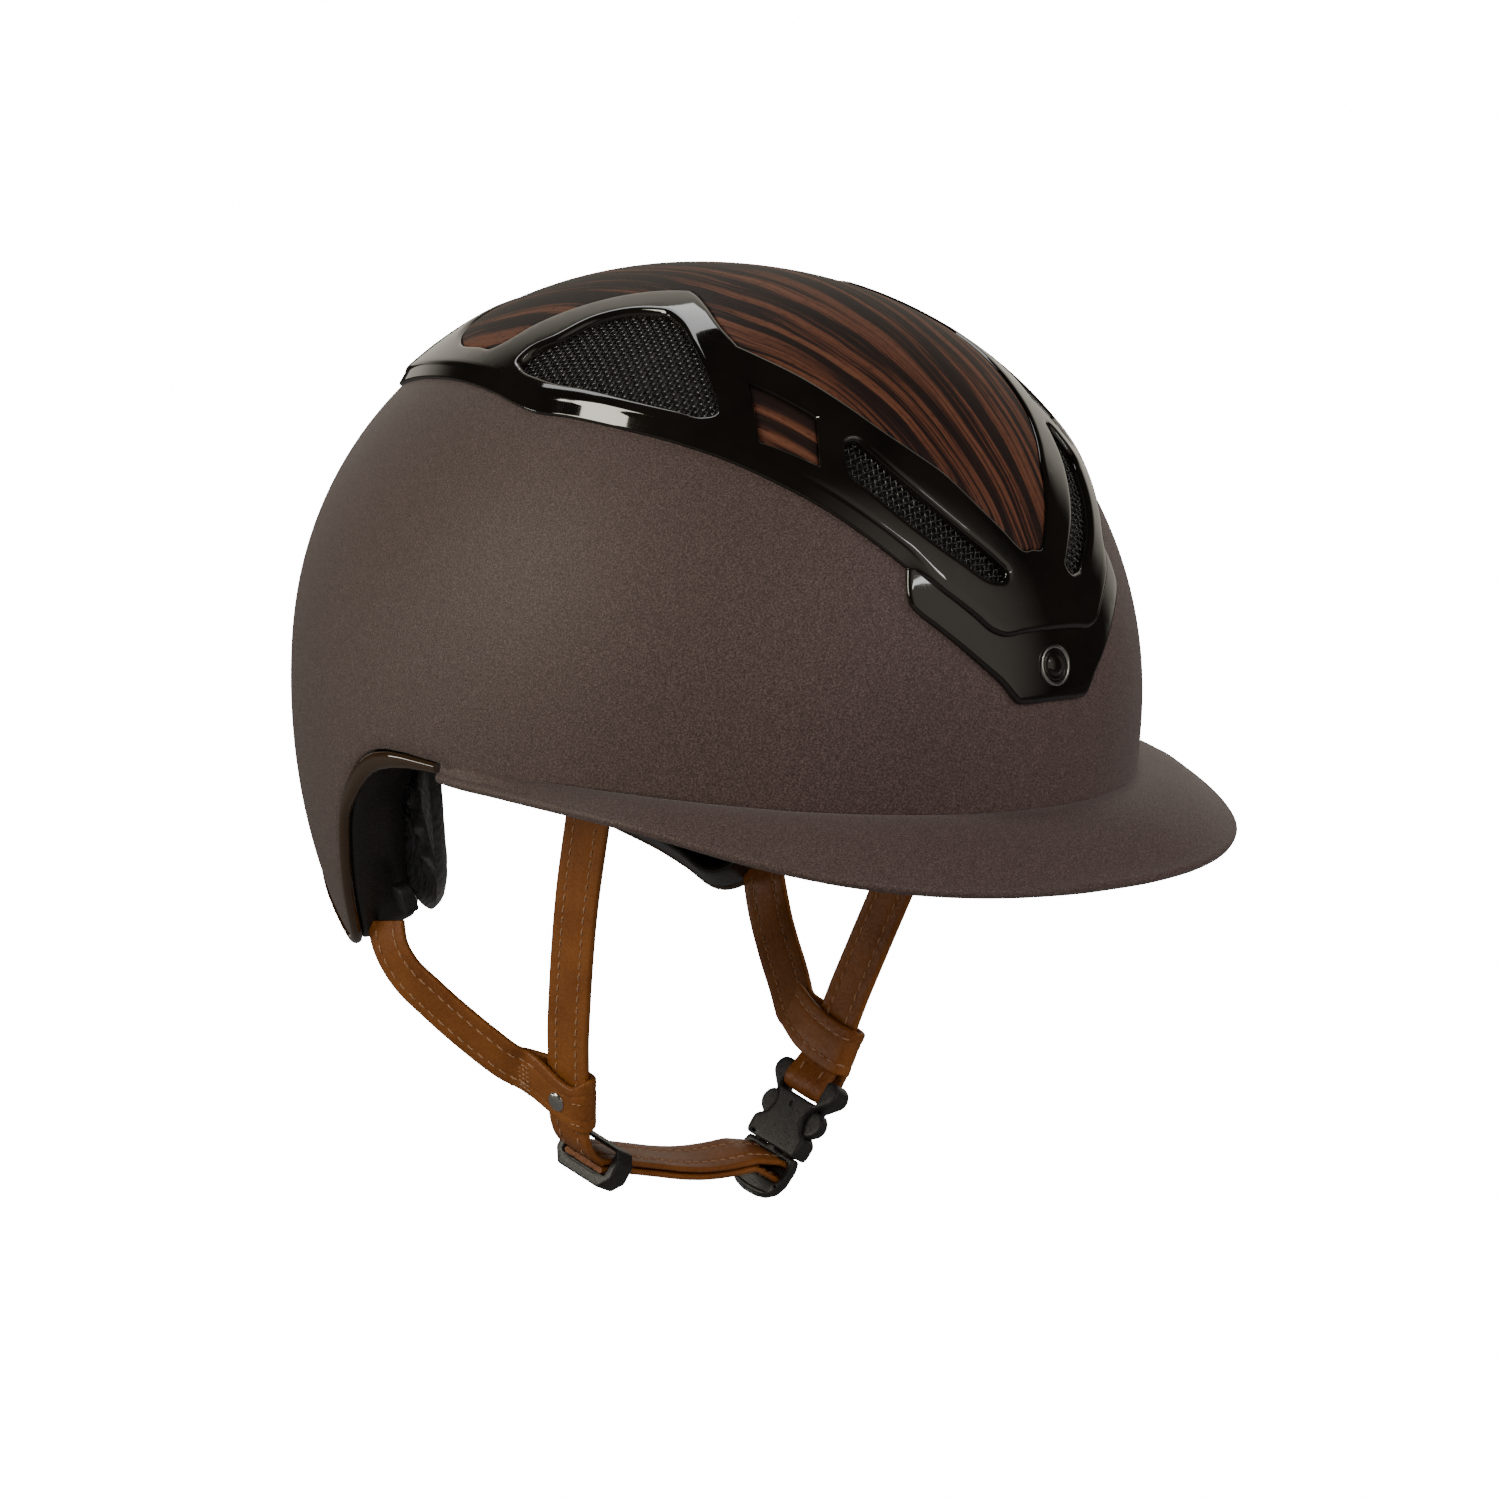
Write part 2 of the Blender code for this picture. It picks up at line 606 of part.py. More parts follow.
def make_straps():
    straight = [STRAIGHT_TOP.lerp(STRAIGHT_END, i / 4) for i in range(5)]
    left = smooth_curve(FRONT_STRAP_TOP, 2) + straight
    wrap = [BAR_CENTRE - PULL * 2.5 + INWARD * 2.7]
    wrap += turn_points(BAR_CENTRE, PULL, INWARD, BAR_WRAP_RADIUS)
    wrap += [BAR_CENTRE - PULL * 4.5 - INWARD * 2.6, BAR_CENTRE - PULL * 8.6 - INWARD * 2.3]
    widths = widths_facing(left, OUTWARD) + [ACROSS] * len(wrap)
    ribbon("front_strap_left", left + wrap, widths, STRAP_WIDTH, STRAP_THICKNESS, LEATHER)
    right_out = Vector((-OUTWARD.x, OUTWARD.y, OUTWARD.z))
    right = mirror_x(smooth_curve(FRONT_STRAP_TOP, 2) + [STRAIGHT_TOP])
    right += [right[-1].lerp(RIGHT_STRAIGHT_END, i / 4) for i in range(1, 5)]
    bend = [chin_point(-82.8, 21.6), chin_point(-79.6, 17.9), chin_point(-76.4, 16.0)]
    widths = widths_facing(right, right_out) + [-ACROSS] * len(bend)
    ribbon("front_strap_right", right + bend, widths, STRAP_WIDTH, STRAP_THICKNESS, LEATHER)
    rear = mirror_x(smooth_curve(REAR_STRAP, 3))
    ribbon("rear_strap_right", rear, widths_facing(rear, right_out), STRAP_WIDTH, STRAP_THICKNESS, LEATHER)
    rear = smooth_curve(LEFT_REAR_STRAP_END, 3)
    ribbon("rear_strap_left", rear, widths_facing(rear, OUTWARD), STRAP_WIDTH, STRAP_THICKNESS, LEATHER)


def straight_ends(side):
    if side == "left":
        return STRAIGHT_TOP, STRAIGHT_END
    return mirror_x([STRAIGHT_TOP])[0], RIGHT_STRAIGHT_END


def strap_frame(side):
    """Directions at the straight stretch of a front strap: width, along (downwards) and outward."""
    sign = 1 if side == "left" else -1
    start, end = straight_ends(side)
    along = (end - start).normalized()
    width = along.cross(Vector((OUTWARD.x * sign, OUTWARD.y, OUTWARD.z))).normalized() * sign
    return width, along, width.cross(along).normalized() * sign


def straight_point(side, share):
    start, end = straight_ends(side)
    return start.lerp(end, share)


def make_keeper(name, side, share, height, finish):
    """A leather sleeve round a front strap, reaching back over the end of the rear strap."""
    width, along, out = strap_frame(side)
    centre = straight_point(side, share) - width * KEEPER_SETBACK
    half = KEEPER_WIDTH / 2
    deep = STRAP_THICKNESS / 2 + KEEPER_CLEARANCE + KEEPER_WALL
    hollow_half, hollow_deep = half - KEEPER_WALL, deep - KEEPER_WALL
    sleeve = plate(name, centre, (width, out, along), [(-half, -deep), (half, -deep), (half, deep), (-half, deep)],
                   -height / 2, height / 2, finish)
    hollow = plate(f"{name}_hollow", centre, (width, out, along),
                   [(-hollow_half, -hollow_deep), (hollow_half, -hollow_deep), (hollow_half, hollow_deep),
                    (-hollow_half, hollow_deep)], -height, height, None, CUTTERS)
    boolean(sleeve, hide_cutter(hollow))
    return centre, width, along, out, deep


def make_keepers():
    make_keeper("strap_keeper_left", "left", 0.42, KEEPER_HEIGHT, LEATHER)
    centre, width, along, out, deep = make_keeper("strap_loop_right", "right", 0.78, 15.0, LEATHER)
    seat = centre - width * 1.5
    round_piece("loop_rivet_cap", seat + out * (deep + 0.3), out, 3.4, 1.3, STEEL, 16)
    round_piece("loop_rivet_base", seat - out * (deep + 0.3), -out, 3.4, 0.9, STEEL, 16)


def make_anchors():
    """Plates that hold the straps' upper ends against the liner, each with its screw."""
    for side, sign in (("right", -1), ("left", 1)):
        for label, place, width, height, depth in (
            ("front", Vector((79.0, -38.6, 35.5)), 20.0, 10.0, 3.0),
            ("rear", Vector((76.6, 44.6, -49.8)), 8.0, 11.0, 4.0),
        ):
            spot = Vector((place.x * sign, place.y, place.z))
            out = dome_normal(spot)
            level = Vector((-out.y, out.x, 0)).normalized()
            rise = out.cross(level).normalized()
            corners = [(-width / 2, -height / 2), (width / 2, -height / 2), (width / 2, height / 2),
                       (-width / 2, height / 2)]
            plate(f"{label}_anchor_{side}", spot, (level, rise, out), corners, -depth / 2, depth / 2, MATTE_BLACK)
            round_piece(f"{label}_anchor_screw_{side}", spot - out * (depth / 2 + 0.3), -out, 3.0, 1.2, STEEL, 12)


def ladder_origin():
    return BAR_CENTRE + PULL * LADDER_BAR


def chin_point(across, up):
    """A place in the chin strap's plane: along X and upwards from the ladder bar."""
    rise = ACROSS.cross(Vector((1, 0, 0))).normalized()
    if rise.z < 0:
        rise = -rise
    return ladder_origin() + Vector((1, 0, 0)) * across + rise * up


def chin_centre_line():
    return [Vector((p.x, p.y, 0)) for p in smooth_curve([(x, y, 0) for x, y in CHIN_LINE], 2)]


def make_chin_strap():
    """One strap folded round the ladder bar: the upper layer out, a turn, the lower layer back."""
    centre = chin_centre_line()
    apart = (CHIN_STRAP_THICKNESS + CHIN_LAYER_GAP) / 2
    normals = [Vector((-t.y, t.x, 0)) for t in tangents(centre)]
    upper = [p + n * apart for p, n in zip(centre, normals)]
    lower = [p - n * apart for p, n in zip(centre, normals)]
    pull = Vector((PULL.x, 0, 0)) + Vector((0, PULL.dot(chin_rise()), 0))
    pull.normalize()
    inward = Vector((pull.y, -pull.x, 0))
    turn = []
    for i in range(9):
        angle = math.pi * i / 8
        turn.append((-pull * math.cos(angle) - inward * math.sin(angle)) * LADDER_LOOP_RADIUS)
    approach = [-pull * LADDER_LOOP_RADIUS + inward * 3.0]
    leave = [pull * LADDER_LOOP_RADIUS + inward * 3.0]
    line = upper + approach + turn + leave + list(reversed(lower))
    half = CHIN_STRAP_THICKNESS / 2
    sections = []
    for place, along in zip(line, tangents(line)):
        normal = Vector((-along.y, along.x, 0)) * half
        corners = []
        for side in (STRAP_WIDTH / 2, -STRAP_WIDTH / 2):
            pair = [place + normal, place - normal]
            if side < 0:
                pair.reverse()
            corners += [chin_point(p.x, p.y) + ACROSS * side for p in pair]
        sections.append(corners)
    sweep("chin_strap", sections, LEATHER)


def chin_rise():
    rise = ACROSS.cross(Vector((1, 0, 0))).normalized()
    return rise if rise.z > 0 else -rise


def make_slider():
    """Two-slot slider that holds the folded chin strap together."""
    x, y = CHIN_LINE[SLIDER_PLACE]
    before, after = CHIN_LINE[SLIDER_PLACE - 1], CHIN_LINE[SLIDER_PLACE + 1]
    slope = Vector((after[0] - before[0], after[1] - before[1])).normalized()
    along = Vector((1, 0, 0)) * slope.x + chin_rise() * slope.y
    up = Vector((1, 0, 0)) * -slope.y + chin_rise() * slope.x
    origin = chin_point(x, y)
    half_wide, half_long, half_deep = 11.5, 6.0, 4.7
    body = plate("strap_slider", origin, (ACROSS, up, along),
                 [(-half_wide, -half_deep), (half_wide, -half_deep), (half_wide, half_deep), (-half_wide, half_deep)],
                 -half_long, half_long, BUCKLE_PLASTIC)
    reach = CHIN_STRAP_THICKNESS + CHIN_LAYER_GAP / 2 + 1.3
    slot_half = STRAP_WIDTH / 2 + 0.8
    slot = plate("slider_slot", origin, (ACROSS, up, along),
                 [(-slot_half, -reach), (slot_half, -reach), (slot_half, reach), (-slot_half, reach)],
                 -half_long * 2, half_long * 2, None, CUTTERS)
    boolean(body, hide_cutter(slot))


def buckle_axes():
    return ACROSS, PULL, INWARD


def box_outline(x0, x1, y0, y1):
    return [(x0, y0), (x1, y0), (x1, y1), (x0, y1)]


def make_socket():
    """Female half: strap bar between two round ears, scalloped sides, open mouth."""
    half = SOCKET_THICKNESS / 2
    right_side = (
        arc((9.3, 0.0), 3.7, -100, 62, 5)
        + arc((12.6, 9.8), 5.0, 235, 140, 4)
        + [(10.2, 15.2), (10.4, 20.0), (9.7, SOCKET_MOUTH)]
    )
    outline = right_side + [(-x, y) for x, y in reversed(right_side)]
    socket = plate("buckle_socket", BAR_CENTRE, buckle_axes(), outline, -half, half, BUCKLE_PLASTIC)
    cuts = (
        ("socket_cavity", box_outline(-CAVITY_HALF_WIDTH, CAVITY_HALF_WIDTH, 6.6, SOCKET_MOUTH + 3),
         -CAVITY_THICKNESS / 2, CAVITY_THICKNESS / 2),
        ("socket_strap_slot", box_outline(-8.4, 8.4, 1.4, 5.4), -6.0, 6.0),
        ("socket_top_notch", box_outline(-8.4, 8.4, -8.0, -1.4), -6.0, 6.0),
        ("socket_bar_inner", box_outline(-8.6, 8.6, -7.0, 5.2), 1.4, 6.5),
        ("socket_bar_outer", box_outline(-8.6, 8.6, -7.0, 5.2), -6.5, -1.4),
    )
    for name, shape, low, high in cuts:
        boolean(socket, hide_cutter(plate(name, BAR_CENTRE, buckle_axes(), shape, low, high, None, CUTTERS)))


def make_tongue():
    """Male half: guide spine inside the socket, then a frame with two slots round the ladder bar."""
    half = TONGUE_THICKNESS / 2
    start = SOCKET_MOUTH + 0.4
    outline = [
        (1.4, 9.5), (1.4, start), (9.4, start), (10.6, start + 3), (10.2, 30.5), (7.0, TONGUE_END - 0.8),
        (3.0, TONGUE_END), (-3.0, TONGUE_END), (-7.0, TONGUE_END - 0.8), (-10.2, 30.5), (-10.6, start + 3),
        (-9.4, start), (-1.4, start), (-1.4, 9.5),
    ]
    tongue = plate("buckle_tongue", BAR_CENTRE, buckle_axes(), outline, -half, half, BUCKLE_PLASTIC)
    cuts = (
        ("tongue_slot_near", box_outline(-8.5, 8.5, 24.4, LADDER_BAR - 1.1), -6.0, 6.0),
        ("tongue_slot_far", box_outline(-8.5, 8.5, LADDER_BAR + 1.1, 33.2), -6.0, 6.0),
        ("ladder_bar_inner", box_outline(-8.7, 8.7, 24.6, 33.0), 1.0, 6.5),
        ("ladder_bar_outer", box_outline(-8.7, 8.7, 24.6, 33.0), -6.5, -1.0),
    )
    for name, shape, low, high in cuts:
        boolean(tongue, hide_cutter(plate(name, BAR_CENTRE, buckle_axes(), shape, low, high, None, CUTTERS)))


def make_release_arms():
    """Two springy arms beside the spine, each on an empty at its root, where it flexes."""
    for name, sign in (("release_arm_front", 1), ("release_arm_rear", -1)):
        outline = [(4.4, SOCKET_MOUTH - 0.2), (6.6, SOCKET_MOUTH - 0.2), (6.8, 16.0), (8.1, 12.8), (8.0, 9.6),
                   (6.6, 7.6), (5.4, 8.2), (5.2, 15.5)]
        shape = [(x * sign, y) for x, y in outline]
        arm = plate(name, BAR_CENTRE, buckle_axes(), shape, -1.5, 1.5, BUCKLE_PLASTIC)
        pivot = bpy.data.objects.new(f"{name}_pivot", None)
        HELMET.objects.link(pivot)
        root = BAR_CENTRE + PULL * (SOCKET_MOUTH - 0.6) + ACROSS * (5.5 * sign)
        pivot.location = root * MM
        arm.data.transform(Matrix.Translation(-root * MM))
        arm.parent = pivot


clear_scene()
HELMET = collection("riding_helmet")
CUTTERS = collection("cutters")
BROWN = material("brown_shell_paint", (0.062, 0.047, 0.042), 0.72)
GLOSS_BLACK = material("gloss_black_trim", (0.012, 0.010, 0.009), 0.12)
WOOD = material("dark_wood", (0.12, 0.045, 0.028), 0.3)
DARK_METAL = material("dark_vent_mesh", (0.03, 0.03, 0.03), 0.4, 0.6)
BRONZE = material("bronze_edge", (0.11, 0.065, 0.04), 0.2)
STEEL = material("bright_steel", (0.6, 0.6, 0.6), 0.3, 1.0)
FOAM = material("liner_foam", (0.03, 0.03, 0.03), 0.9)
FABRIC = material("black_padding", (0.015, 0.015, 0.016), 0.95)
LEATHER = material("tan_leather", (0.29, 0.12, 0.045), 0.5)
BUCKLE_PLASTIC = material("buckle_plastic", (0.02, 0.02, 0.021), 0.45)
MATTE_BLACK = material("anchor_plastic", (0.02, 0.02, 0.02), 0.6)

make_shell()
make_top_frame()
make_wood()
make_vent_meshes()
make_badge()
make_peak()
make_rim_trims()
make_liner()
make_pads()
make_straps()
make_keepers()
make_anchors()
make_chin_strap()
make_slider()
make_socket()
make_tongue()
make_release_arms()
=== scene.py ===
"""Looks of an equestrian riding helmet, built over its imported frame.

Lengths are in millimetres until MM scales them. +Z is up, the front is towards -Y and the wearer's right
towards -X. Places on the shell are angle-map pairs (sideways, fore-and-aft) in degrees from the crown.
"""

import math

import bpy
import numpy as np
from mathutils import Matrix, Vector
from mathutils.geometry import delaunay_2d_cdt


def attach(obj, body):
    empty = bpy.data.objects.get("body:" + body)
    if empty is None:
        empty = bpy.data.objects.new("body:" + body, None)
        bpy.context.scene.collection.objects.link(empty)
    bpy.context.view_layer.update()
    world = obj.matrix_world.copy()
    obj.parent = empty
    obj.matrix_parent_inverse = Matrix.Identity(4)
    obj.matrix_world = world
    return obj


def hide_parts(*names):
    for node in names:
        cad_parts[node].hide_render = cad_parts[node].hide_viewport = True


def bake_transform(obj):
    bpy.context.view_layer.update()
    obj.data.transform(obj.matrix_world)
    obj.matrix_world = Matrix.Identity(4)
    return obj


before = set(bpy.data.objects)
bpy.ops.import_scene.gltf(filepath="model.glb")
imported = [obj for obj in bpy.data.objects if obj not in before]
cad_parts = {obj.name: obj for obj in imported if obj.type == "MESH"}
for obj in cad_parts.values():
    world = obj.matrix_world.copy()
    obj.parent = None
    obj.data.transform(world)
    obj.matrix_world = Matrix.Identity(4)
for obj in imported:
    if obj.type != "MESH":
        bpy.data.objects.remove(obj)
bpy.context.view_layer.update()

MM = 0.001
ROOT = "helmet"

# Camera, lens and stage
CAMERA_TARGET = (0.0027, -0.0114, -0.0040)
CAMERA_AZIMUTH = -45.4
CAMERA_ELEVATION = 10.67
CAMERA_ROLL = 3.56
CAMERA_DISTANCE = 2.0
LENS_MM = 167.7
FLOOR_HEIGHT = -0.42
FLOOR_HALF = 40.0
SEEN_WHITE = 16.0
BACKDROP_WHITE = 0.7
FRONT_CARD = 0.55
STUDIO_DARK = 0.014
# name, place, target, size, watts, colour, whether it shows as a highlight in gloss
LIGHTS = (
    ("key_right", (1.3, -1.8, 1.5), (0, 0, 0.02), (1.2, 1.4), 35, (1.0, 0.93, 0.98), False),
    ("side_left", (-1.9, 0.9, 0.9), (0, 0, 0), (0.5, 1.5), 30, (1.0, 0.95, 0.80), True),
    ("top_back", (0.3, 1.6, 2.2), (0, 0, 0.05), (1.6, 0.6), 9, (1.0, 1.0, 1.0), True),
    ("front_fill", (-1.6, -2.0, 0.9), (0, 0, 0.0), (1.0, 1.0), 18, (1.0, 0.94, 0.93), False),
    ("edge_strip", (-0.5, -2.4, 1.9), (0, 0, 0.05), (1.6, 0.10), 5, (1.0, 1.0, 0.97), True),
    ("low_fill", (-2.1, -0.9, -0.25), (0, 0, -0.08), (0.9, 0.3), 11, (1.0, 0.95, 0.9), False),
    ("ear_glint", (-1.2, 1.5, -0.12), (-0.1, 0.03, 0), (0.5, 0.14), 2.6, (1.0, 0.98, 0.94), True),
)

# The shell's outer surface, a rounded dome about a centre above the origin
HALF_WIDTH = 109.3
HALF_FRONT = 130.0
HALF_BACK = 138.0
HEIGHT_UP = 117.0
HEIGHT_DOWN = 147.0
CENTRE = np.array([0.0, 0.0, 14.7])
ROUNDNESS = 2.06

# Side view of the shell's lower edge, (y, z)
RIM = np.array([
    (-160, -4), (-12, -4), (-6, -2), (-2, 0.5), (14, 0.7), (22, 0.2), (28, -1), (33, -3.2), (37, -6), (41, -10),
    (44, -14), (47.5, -18.5), (50, -22.5), (52, -28), (53.5, -34), (55.5, -41), (58, -49), (60, -55.5),
    (62.5, -61.5), (64.5, -63.9), (67, -65.1), (69.5, -65.1), (72, -64.0), (78, -60.5), (87, -56), (97, -51.5),
    (106, -47), (114, -42.5), (121, -39), (130, -36.5), (140, -36), (160, -36),
], float)

# Outlines on the angle map. Half outlines run from the front centre line to the rear one over the wearer's
# right. A point given twice is a corner.
WOOD_HALF = (
    (0, -64.4), (-2.1, -64.35), (-3, -63.6), (-4.2, -62), (-7.2, -57.8), (-10.3, -52.2), (-12.7, -48.5), (-15.1, -44),
    (-17.2, -38), (-19.2, -30.9), (-20.7, -25.3), (-21.5, -21.2), (-21.5, -21.2), (-20.1, -16.4), (-17.2, -10.2),
    (-15.5, -6.4), (-15.1, -4.9), (-15.1, -4.9), (-16.4, -2.1), (-19.9, 3.2), (-24.4, 8.4), (-28.7, 12.6),
    (-32.6, 15.6), (-33.5, 17.2), (-32.7, 20.2), (-30.7, 25.9), (-27, 30), (-21.1, 33.5), (-12, 35), (0, 35.3),
)
TRIM_HALF = (
    (0, -74.4), (-5.7, -74.3), (-10.6, -73.9), (-12.4, -73), (-14.6, -70.8), (-19.2, -65.8), (-22.2, -62),
    (-25.8, -55.9), (-29.4, -49), (-32.7, -42.3), (-35.9, -34.7), (-39.1, -26.3), (-41.8, -17.3), (-43.6, -7.2),
    (-44.3, -0.4), (-43.6, 3.9), (-42.2, 9), (-39.1, 19), (-35.1, 29.9), (-32.2, 36.2), (-27, 45), (-20, 51.5),
    (-11, 56), (0, 57.8),
)
PLATE_HALF = (
    (0, -82.9), (-6.6, -82.7), (-8.6, -82.4), (-9.9, -81.4), (-11.2, -80), (-15, -76.6), (-18.4, -73.2),
    (-21.4, -69.9), (-23.8, -66.8), (-24.2, -65.9), (-24.1, -65), (-22.5, -61.6), (-22.5, -61.6), (-20, -61.5),
    (-14, -68.5), (-10, -71.5), (0, -72.5),
)
REAR_VENT = (
    (-36.5, 8.4), (-34.6, 8.1), (-31.6, 5.2), (-26.4, 2), (-24.4, -0.3), (-22.1, -5.2), (-21.7, -7.2),
    (-22.1, -9), (-25.2, -15.8), (-29.2, -23.6), (-31.4, -27.4), (-32.6, -28.1), (-33.7, -27.3), (-35.5, -23.2),
    (-37.6, -16.4), (-39, -7.7), (-39.5, -2.4), (-39.2, 1.6), (-37.9, 6.6),
)
WINDOW = (
    (-25.4, -27.5), (-25.4, -27.5), (-22.1, -38), (-22.1, -38), (-26.5, -44), (-26.5, -44), (-30.8, -36.1),
    (-30.8, -36.1),
)
FRONT_VENT = (
    (-20.8, -43.4), (-19.8, -43.7), (-19.0, -45.8), (-17.8, -49.5), (-16.2, -53.1), (-12.2, -59.9),
    (-7.5, -65.5), (-6.7, -66.5), (-7.3, -67.3), (-9.2, -67.2), (-14.2, -63.3), (-19, -57.2), (-22.4, -50.2),
    (-23.4, -47.7), (-22.5, -45.3),
)
BADGE_PLACE = (0, -78.6)

# Right half of the peak's edge, (x, y, z), from the front centre to where its lip ends beside the ear
PEAK_EDGE = (
    (0, -157, -15.4), (13, -156.6, -15.4), (25, -155.2, -15.2), (36, -153.2, -14.9), (46, -150.3, -14.5),
    (56.5, -146, -13.9), (66, -140.8, -13.1), (79, -130.8, -11.6), (89, -118.6, -9.8), (96.5, -106, -7.9),
    (103.5, -90, -5.4), (109.0, -75, -3.5), (111.3, -62, -2.9), (111.7, -48, -3.0), (111.4, -28, -3.3),
    (110.7, -6, -3.6), (110.0, -1.5, -3.5),
)

# Harness, for the wearer's left side unless the name says right: x is mirrored for the other side
FRONT_STRAP_TOP = ((80.0, -37, 28), (78.6, -33.5, 14), (75, -28.5, 0), (70.5, -21.5, -20), (66.8, -15.7, -40),
                   (62.3, -10.4, -60), (57.6, -5.5, -80))
STRAIGHT_TOP = np.array([57.0, -5.1, -82.0])
STRAIGHT_END = np.array([51.4, -1.35, -103.6])
RIGHT_STRAIGHT_END = np.array([-48.9, 0.7, -109.6])
OUTWARD = np.array([0.93, 0.0, -0.25])
STRAP_WIDTH = 16.0
STRAP_THICKNESS = 2.2
CHIN_STRAP_THICKNESS = 1.8
CHIN_LAYER_GAP = 0.7
STITCH_PITCH = 3.7

# Buckle frame: the strap bar's middle, the pull direction and the width direction
BAR_CENTRE = np.array([49.0, 0.2, -110.6])


def unit(vector):
    vector = np.asarray(vector, float)
    return vector / np.linalg.norm(vector)


def unit_rows(vectors):
    return vectors / np.linalg.norm(vectors, axis=1)[:, None]


PULL = unit([-0.445, 0.194, -0.874])
ACROSS = unit([0.0, -0.976, -0.217])
INWARD = unit(np.cross(PULL, ACROSS))
CHIN_RISE = unit([0.0, -0.217, 0.976])
X_AXIS = np.array([1.0, 0.0, 0.0])
# How far along the pull direction the ladder bar and the chin strap's origin lie
LADDER_BAR = 26.9
CHIN_ORIGIN = 28.7
LADDER_PLACE = np.array([0.8, 1.57])
SLIDER_PLACE = (-72.4, 13.7)
SLIDER_SLOPE = (13.5, -5.4)
# Middle of the chin strap's two layers, (across, up) from the chin origin
CHIN_LINE = ((-76.5, 15), (-72.4, 14.5), (-63, 12.6), (-52.7, 10.3), (-40, 7.5), (-31.2, 6.2), (-20, 5.7), (-11, 6))


# ---------------------------------------------------------------------------------------------- surfaces

class Dome:
    """The shell's outer surface, as a map from places and lifts to points."""

    def at(self, places, lift=0.0):
        places = np.asarray(places, float).reshape(-1, 2)
        polar = np.radians(np.hypot(places[:, 0], places[:, 1]))
        heading = np.arctan2(places[:, 0], places[:, 1])
        ray = np.stack([np.sin(polar) * np.sin(heading), np.sin(polar) * np.cos(heading), np.cos(polar)], 1)
        fore_aft, upright = (radius + lift for radius in self.radii(ray))
        level = np.hypot(ray[:, 0] / (HALF_WIDTH + lift), ray[:, 1] / fore_aft)
        reach = (level ** ROUNDNESS + np.abs(ray[:, 2] / upright) ** ROUNDNESS) ** (-1 / ROUNDNESS)
        return CENTRE + ray * reach[:, None]

    def radii(self, ray):
        return (np.where(ray[:, 1] > 0, HALF_BACK, HALF_FRONT), np.where(ray[:, 2] > 0, HEIGHT_UP, HEIGHT_DOWN))

    def normal(self, points):
        ray = np.asarray(points, float).reshape(-1, 3) - CENTRE
        fore_aft, upright = self.radii(ray)
        level = np.maximum(np.hypot(ray[:, 0] / HALF_WIDTH, ray[:, 1] / fore_aft), 1e-6)
        side = level ** (ROUNDNESS - 2)
        rise = np.sign(ray[:, 2]) * np.abs(ray[:, 2] / upright) ** (ROUNDNESS - 1) / upright
        return unit_rows(np.stack([side * ray[:, 0] / HALF_WIDTH ** 2, side * ray[:, 1] / fore_aft ** 2, rise], 1))

    def place_of(self, points):
        ray = np.asarray(points, float).reshape(-1, 3) - CENTRE
        polar = np.degrees(np.arctan2(np.hypot(ray[:, 0], ray[:, 1]), ray[:, 2]))
        heading = np.arctan2(ray[:, 0], ray[:, 1])
        return np.stack([polar * np.sin(heading), polar * np.cos(heading)], 1)


class Plane:
    """A flat surface through an origin, with axes (across, along, normal)."""

    def __init__(self, origin, across, along, normal):
        self.origin = np.asarray(origin, float)
        self.axes = np.stack([unit(across), unit(along), unit(normal)])

    def at(self, places, lift=0.0):
        places = np.asarray(places, float).reshape(-1, 2)
        lift = np.broadcast_to(lift, len(places))
        return self.origin + np.column_stack([places, lift]) @ self.axes

    def normal(self, points):
        return np.tile(self.axes[2], (len(points), 1))

    def place_of(self, points):
        return (np.asarray(points) - self.origin) @ self.axes[:2].T


DOME = Dome()


def map_place(heading, polar):
    """Angle-map place of a heading in degrees from the front, positive to the wearer's left."""
    turn = np.radians(heading)
    return np.stack([polar * np.sin(turn), -polar * np.cos(turn)], -1)


def rim_polars(headings, shift_y=0.0, shift_z=0.0):
    """Polar angles at which the dome meets the lower edge, found by halving."""
    low = np.full(len(headings), 60.0)
    high = np.full(len(headings), 150.0)
    for _ in range(34):
        middle = (low + high) / 2
        points = DOME.at(map_place(headings, middle))
        inside = points[:, 2] > np.interp(points[:, 1] - shift_y, RIM[:, 0], RIM[:, 1]) + shift_z
        low = np.where(inside, middle, low)
        high = np.where(inside, high, middle)
    return (low + high) / 2


# ------------------------------------------------------------------------------------------------ curves

def hermite(start, end, slope_start, slope_end, gap):
    """Twelve points of a smooth curve, from one point to just before the next."""
    t = np.linspace(0, 1, 13)[:-1, None]
    return ((2 * t ** 3 - 3 * t ** 2 + 1) * start + (t ** 3 - 2 * t ** 2 + t) * gap * slope_start
            + (3 * t ** 2 - 2 * t ** 3) * end + (t ** 3 - t ** 2) * gap * slope_end)


def smooth_span(points, spacing):
    """Points of a smooth open curve through the given ones, about `spacing` apart."""
    points = np.asarray(points, float)
    if len(points) == 2:
        count = max(1, round(np.linalg.norm(points[1] - points[0]) / spacing))
        return points[0] + (points[1] - points[0]) * np.linspace(0, 1, count + 1)[:, None]
    gaps = np.linalg.norm(np.diff(points, axis=0), axis=1)
    rate = np.diff(points, axis=0) / gaps[:, None]
    slope = np.empty_like(points)
    slope[1:-1] = (rate[:-1] * gaps[1:, None] + rate[1:] * gaps[:-1, None]) / (gaps[:-1] + gaps[1:])[:, None]
    slope[0] = 1.5 * rate[0] - 0.5 * slope[1]
    slope[-1] = 1.5 * rate[-1] - 0.5 * slope[-2]
    found = [hermite(points[i], points[i + 1], slope[i], slope[i + 1], gap) for i, gap in enumerate(gaps)]
    return even(np.vstack(found + [points[-1:]]), spacing)


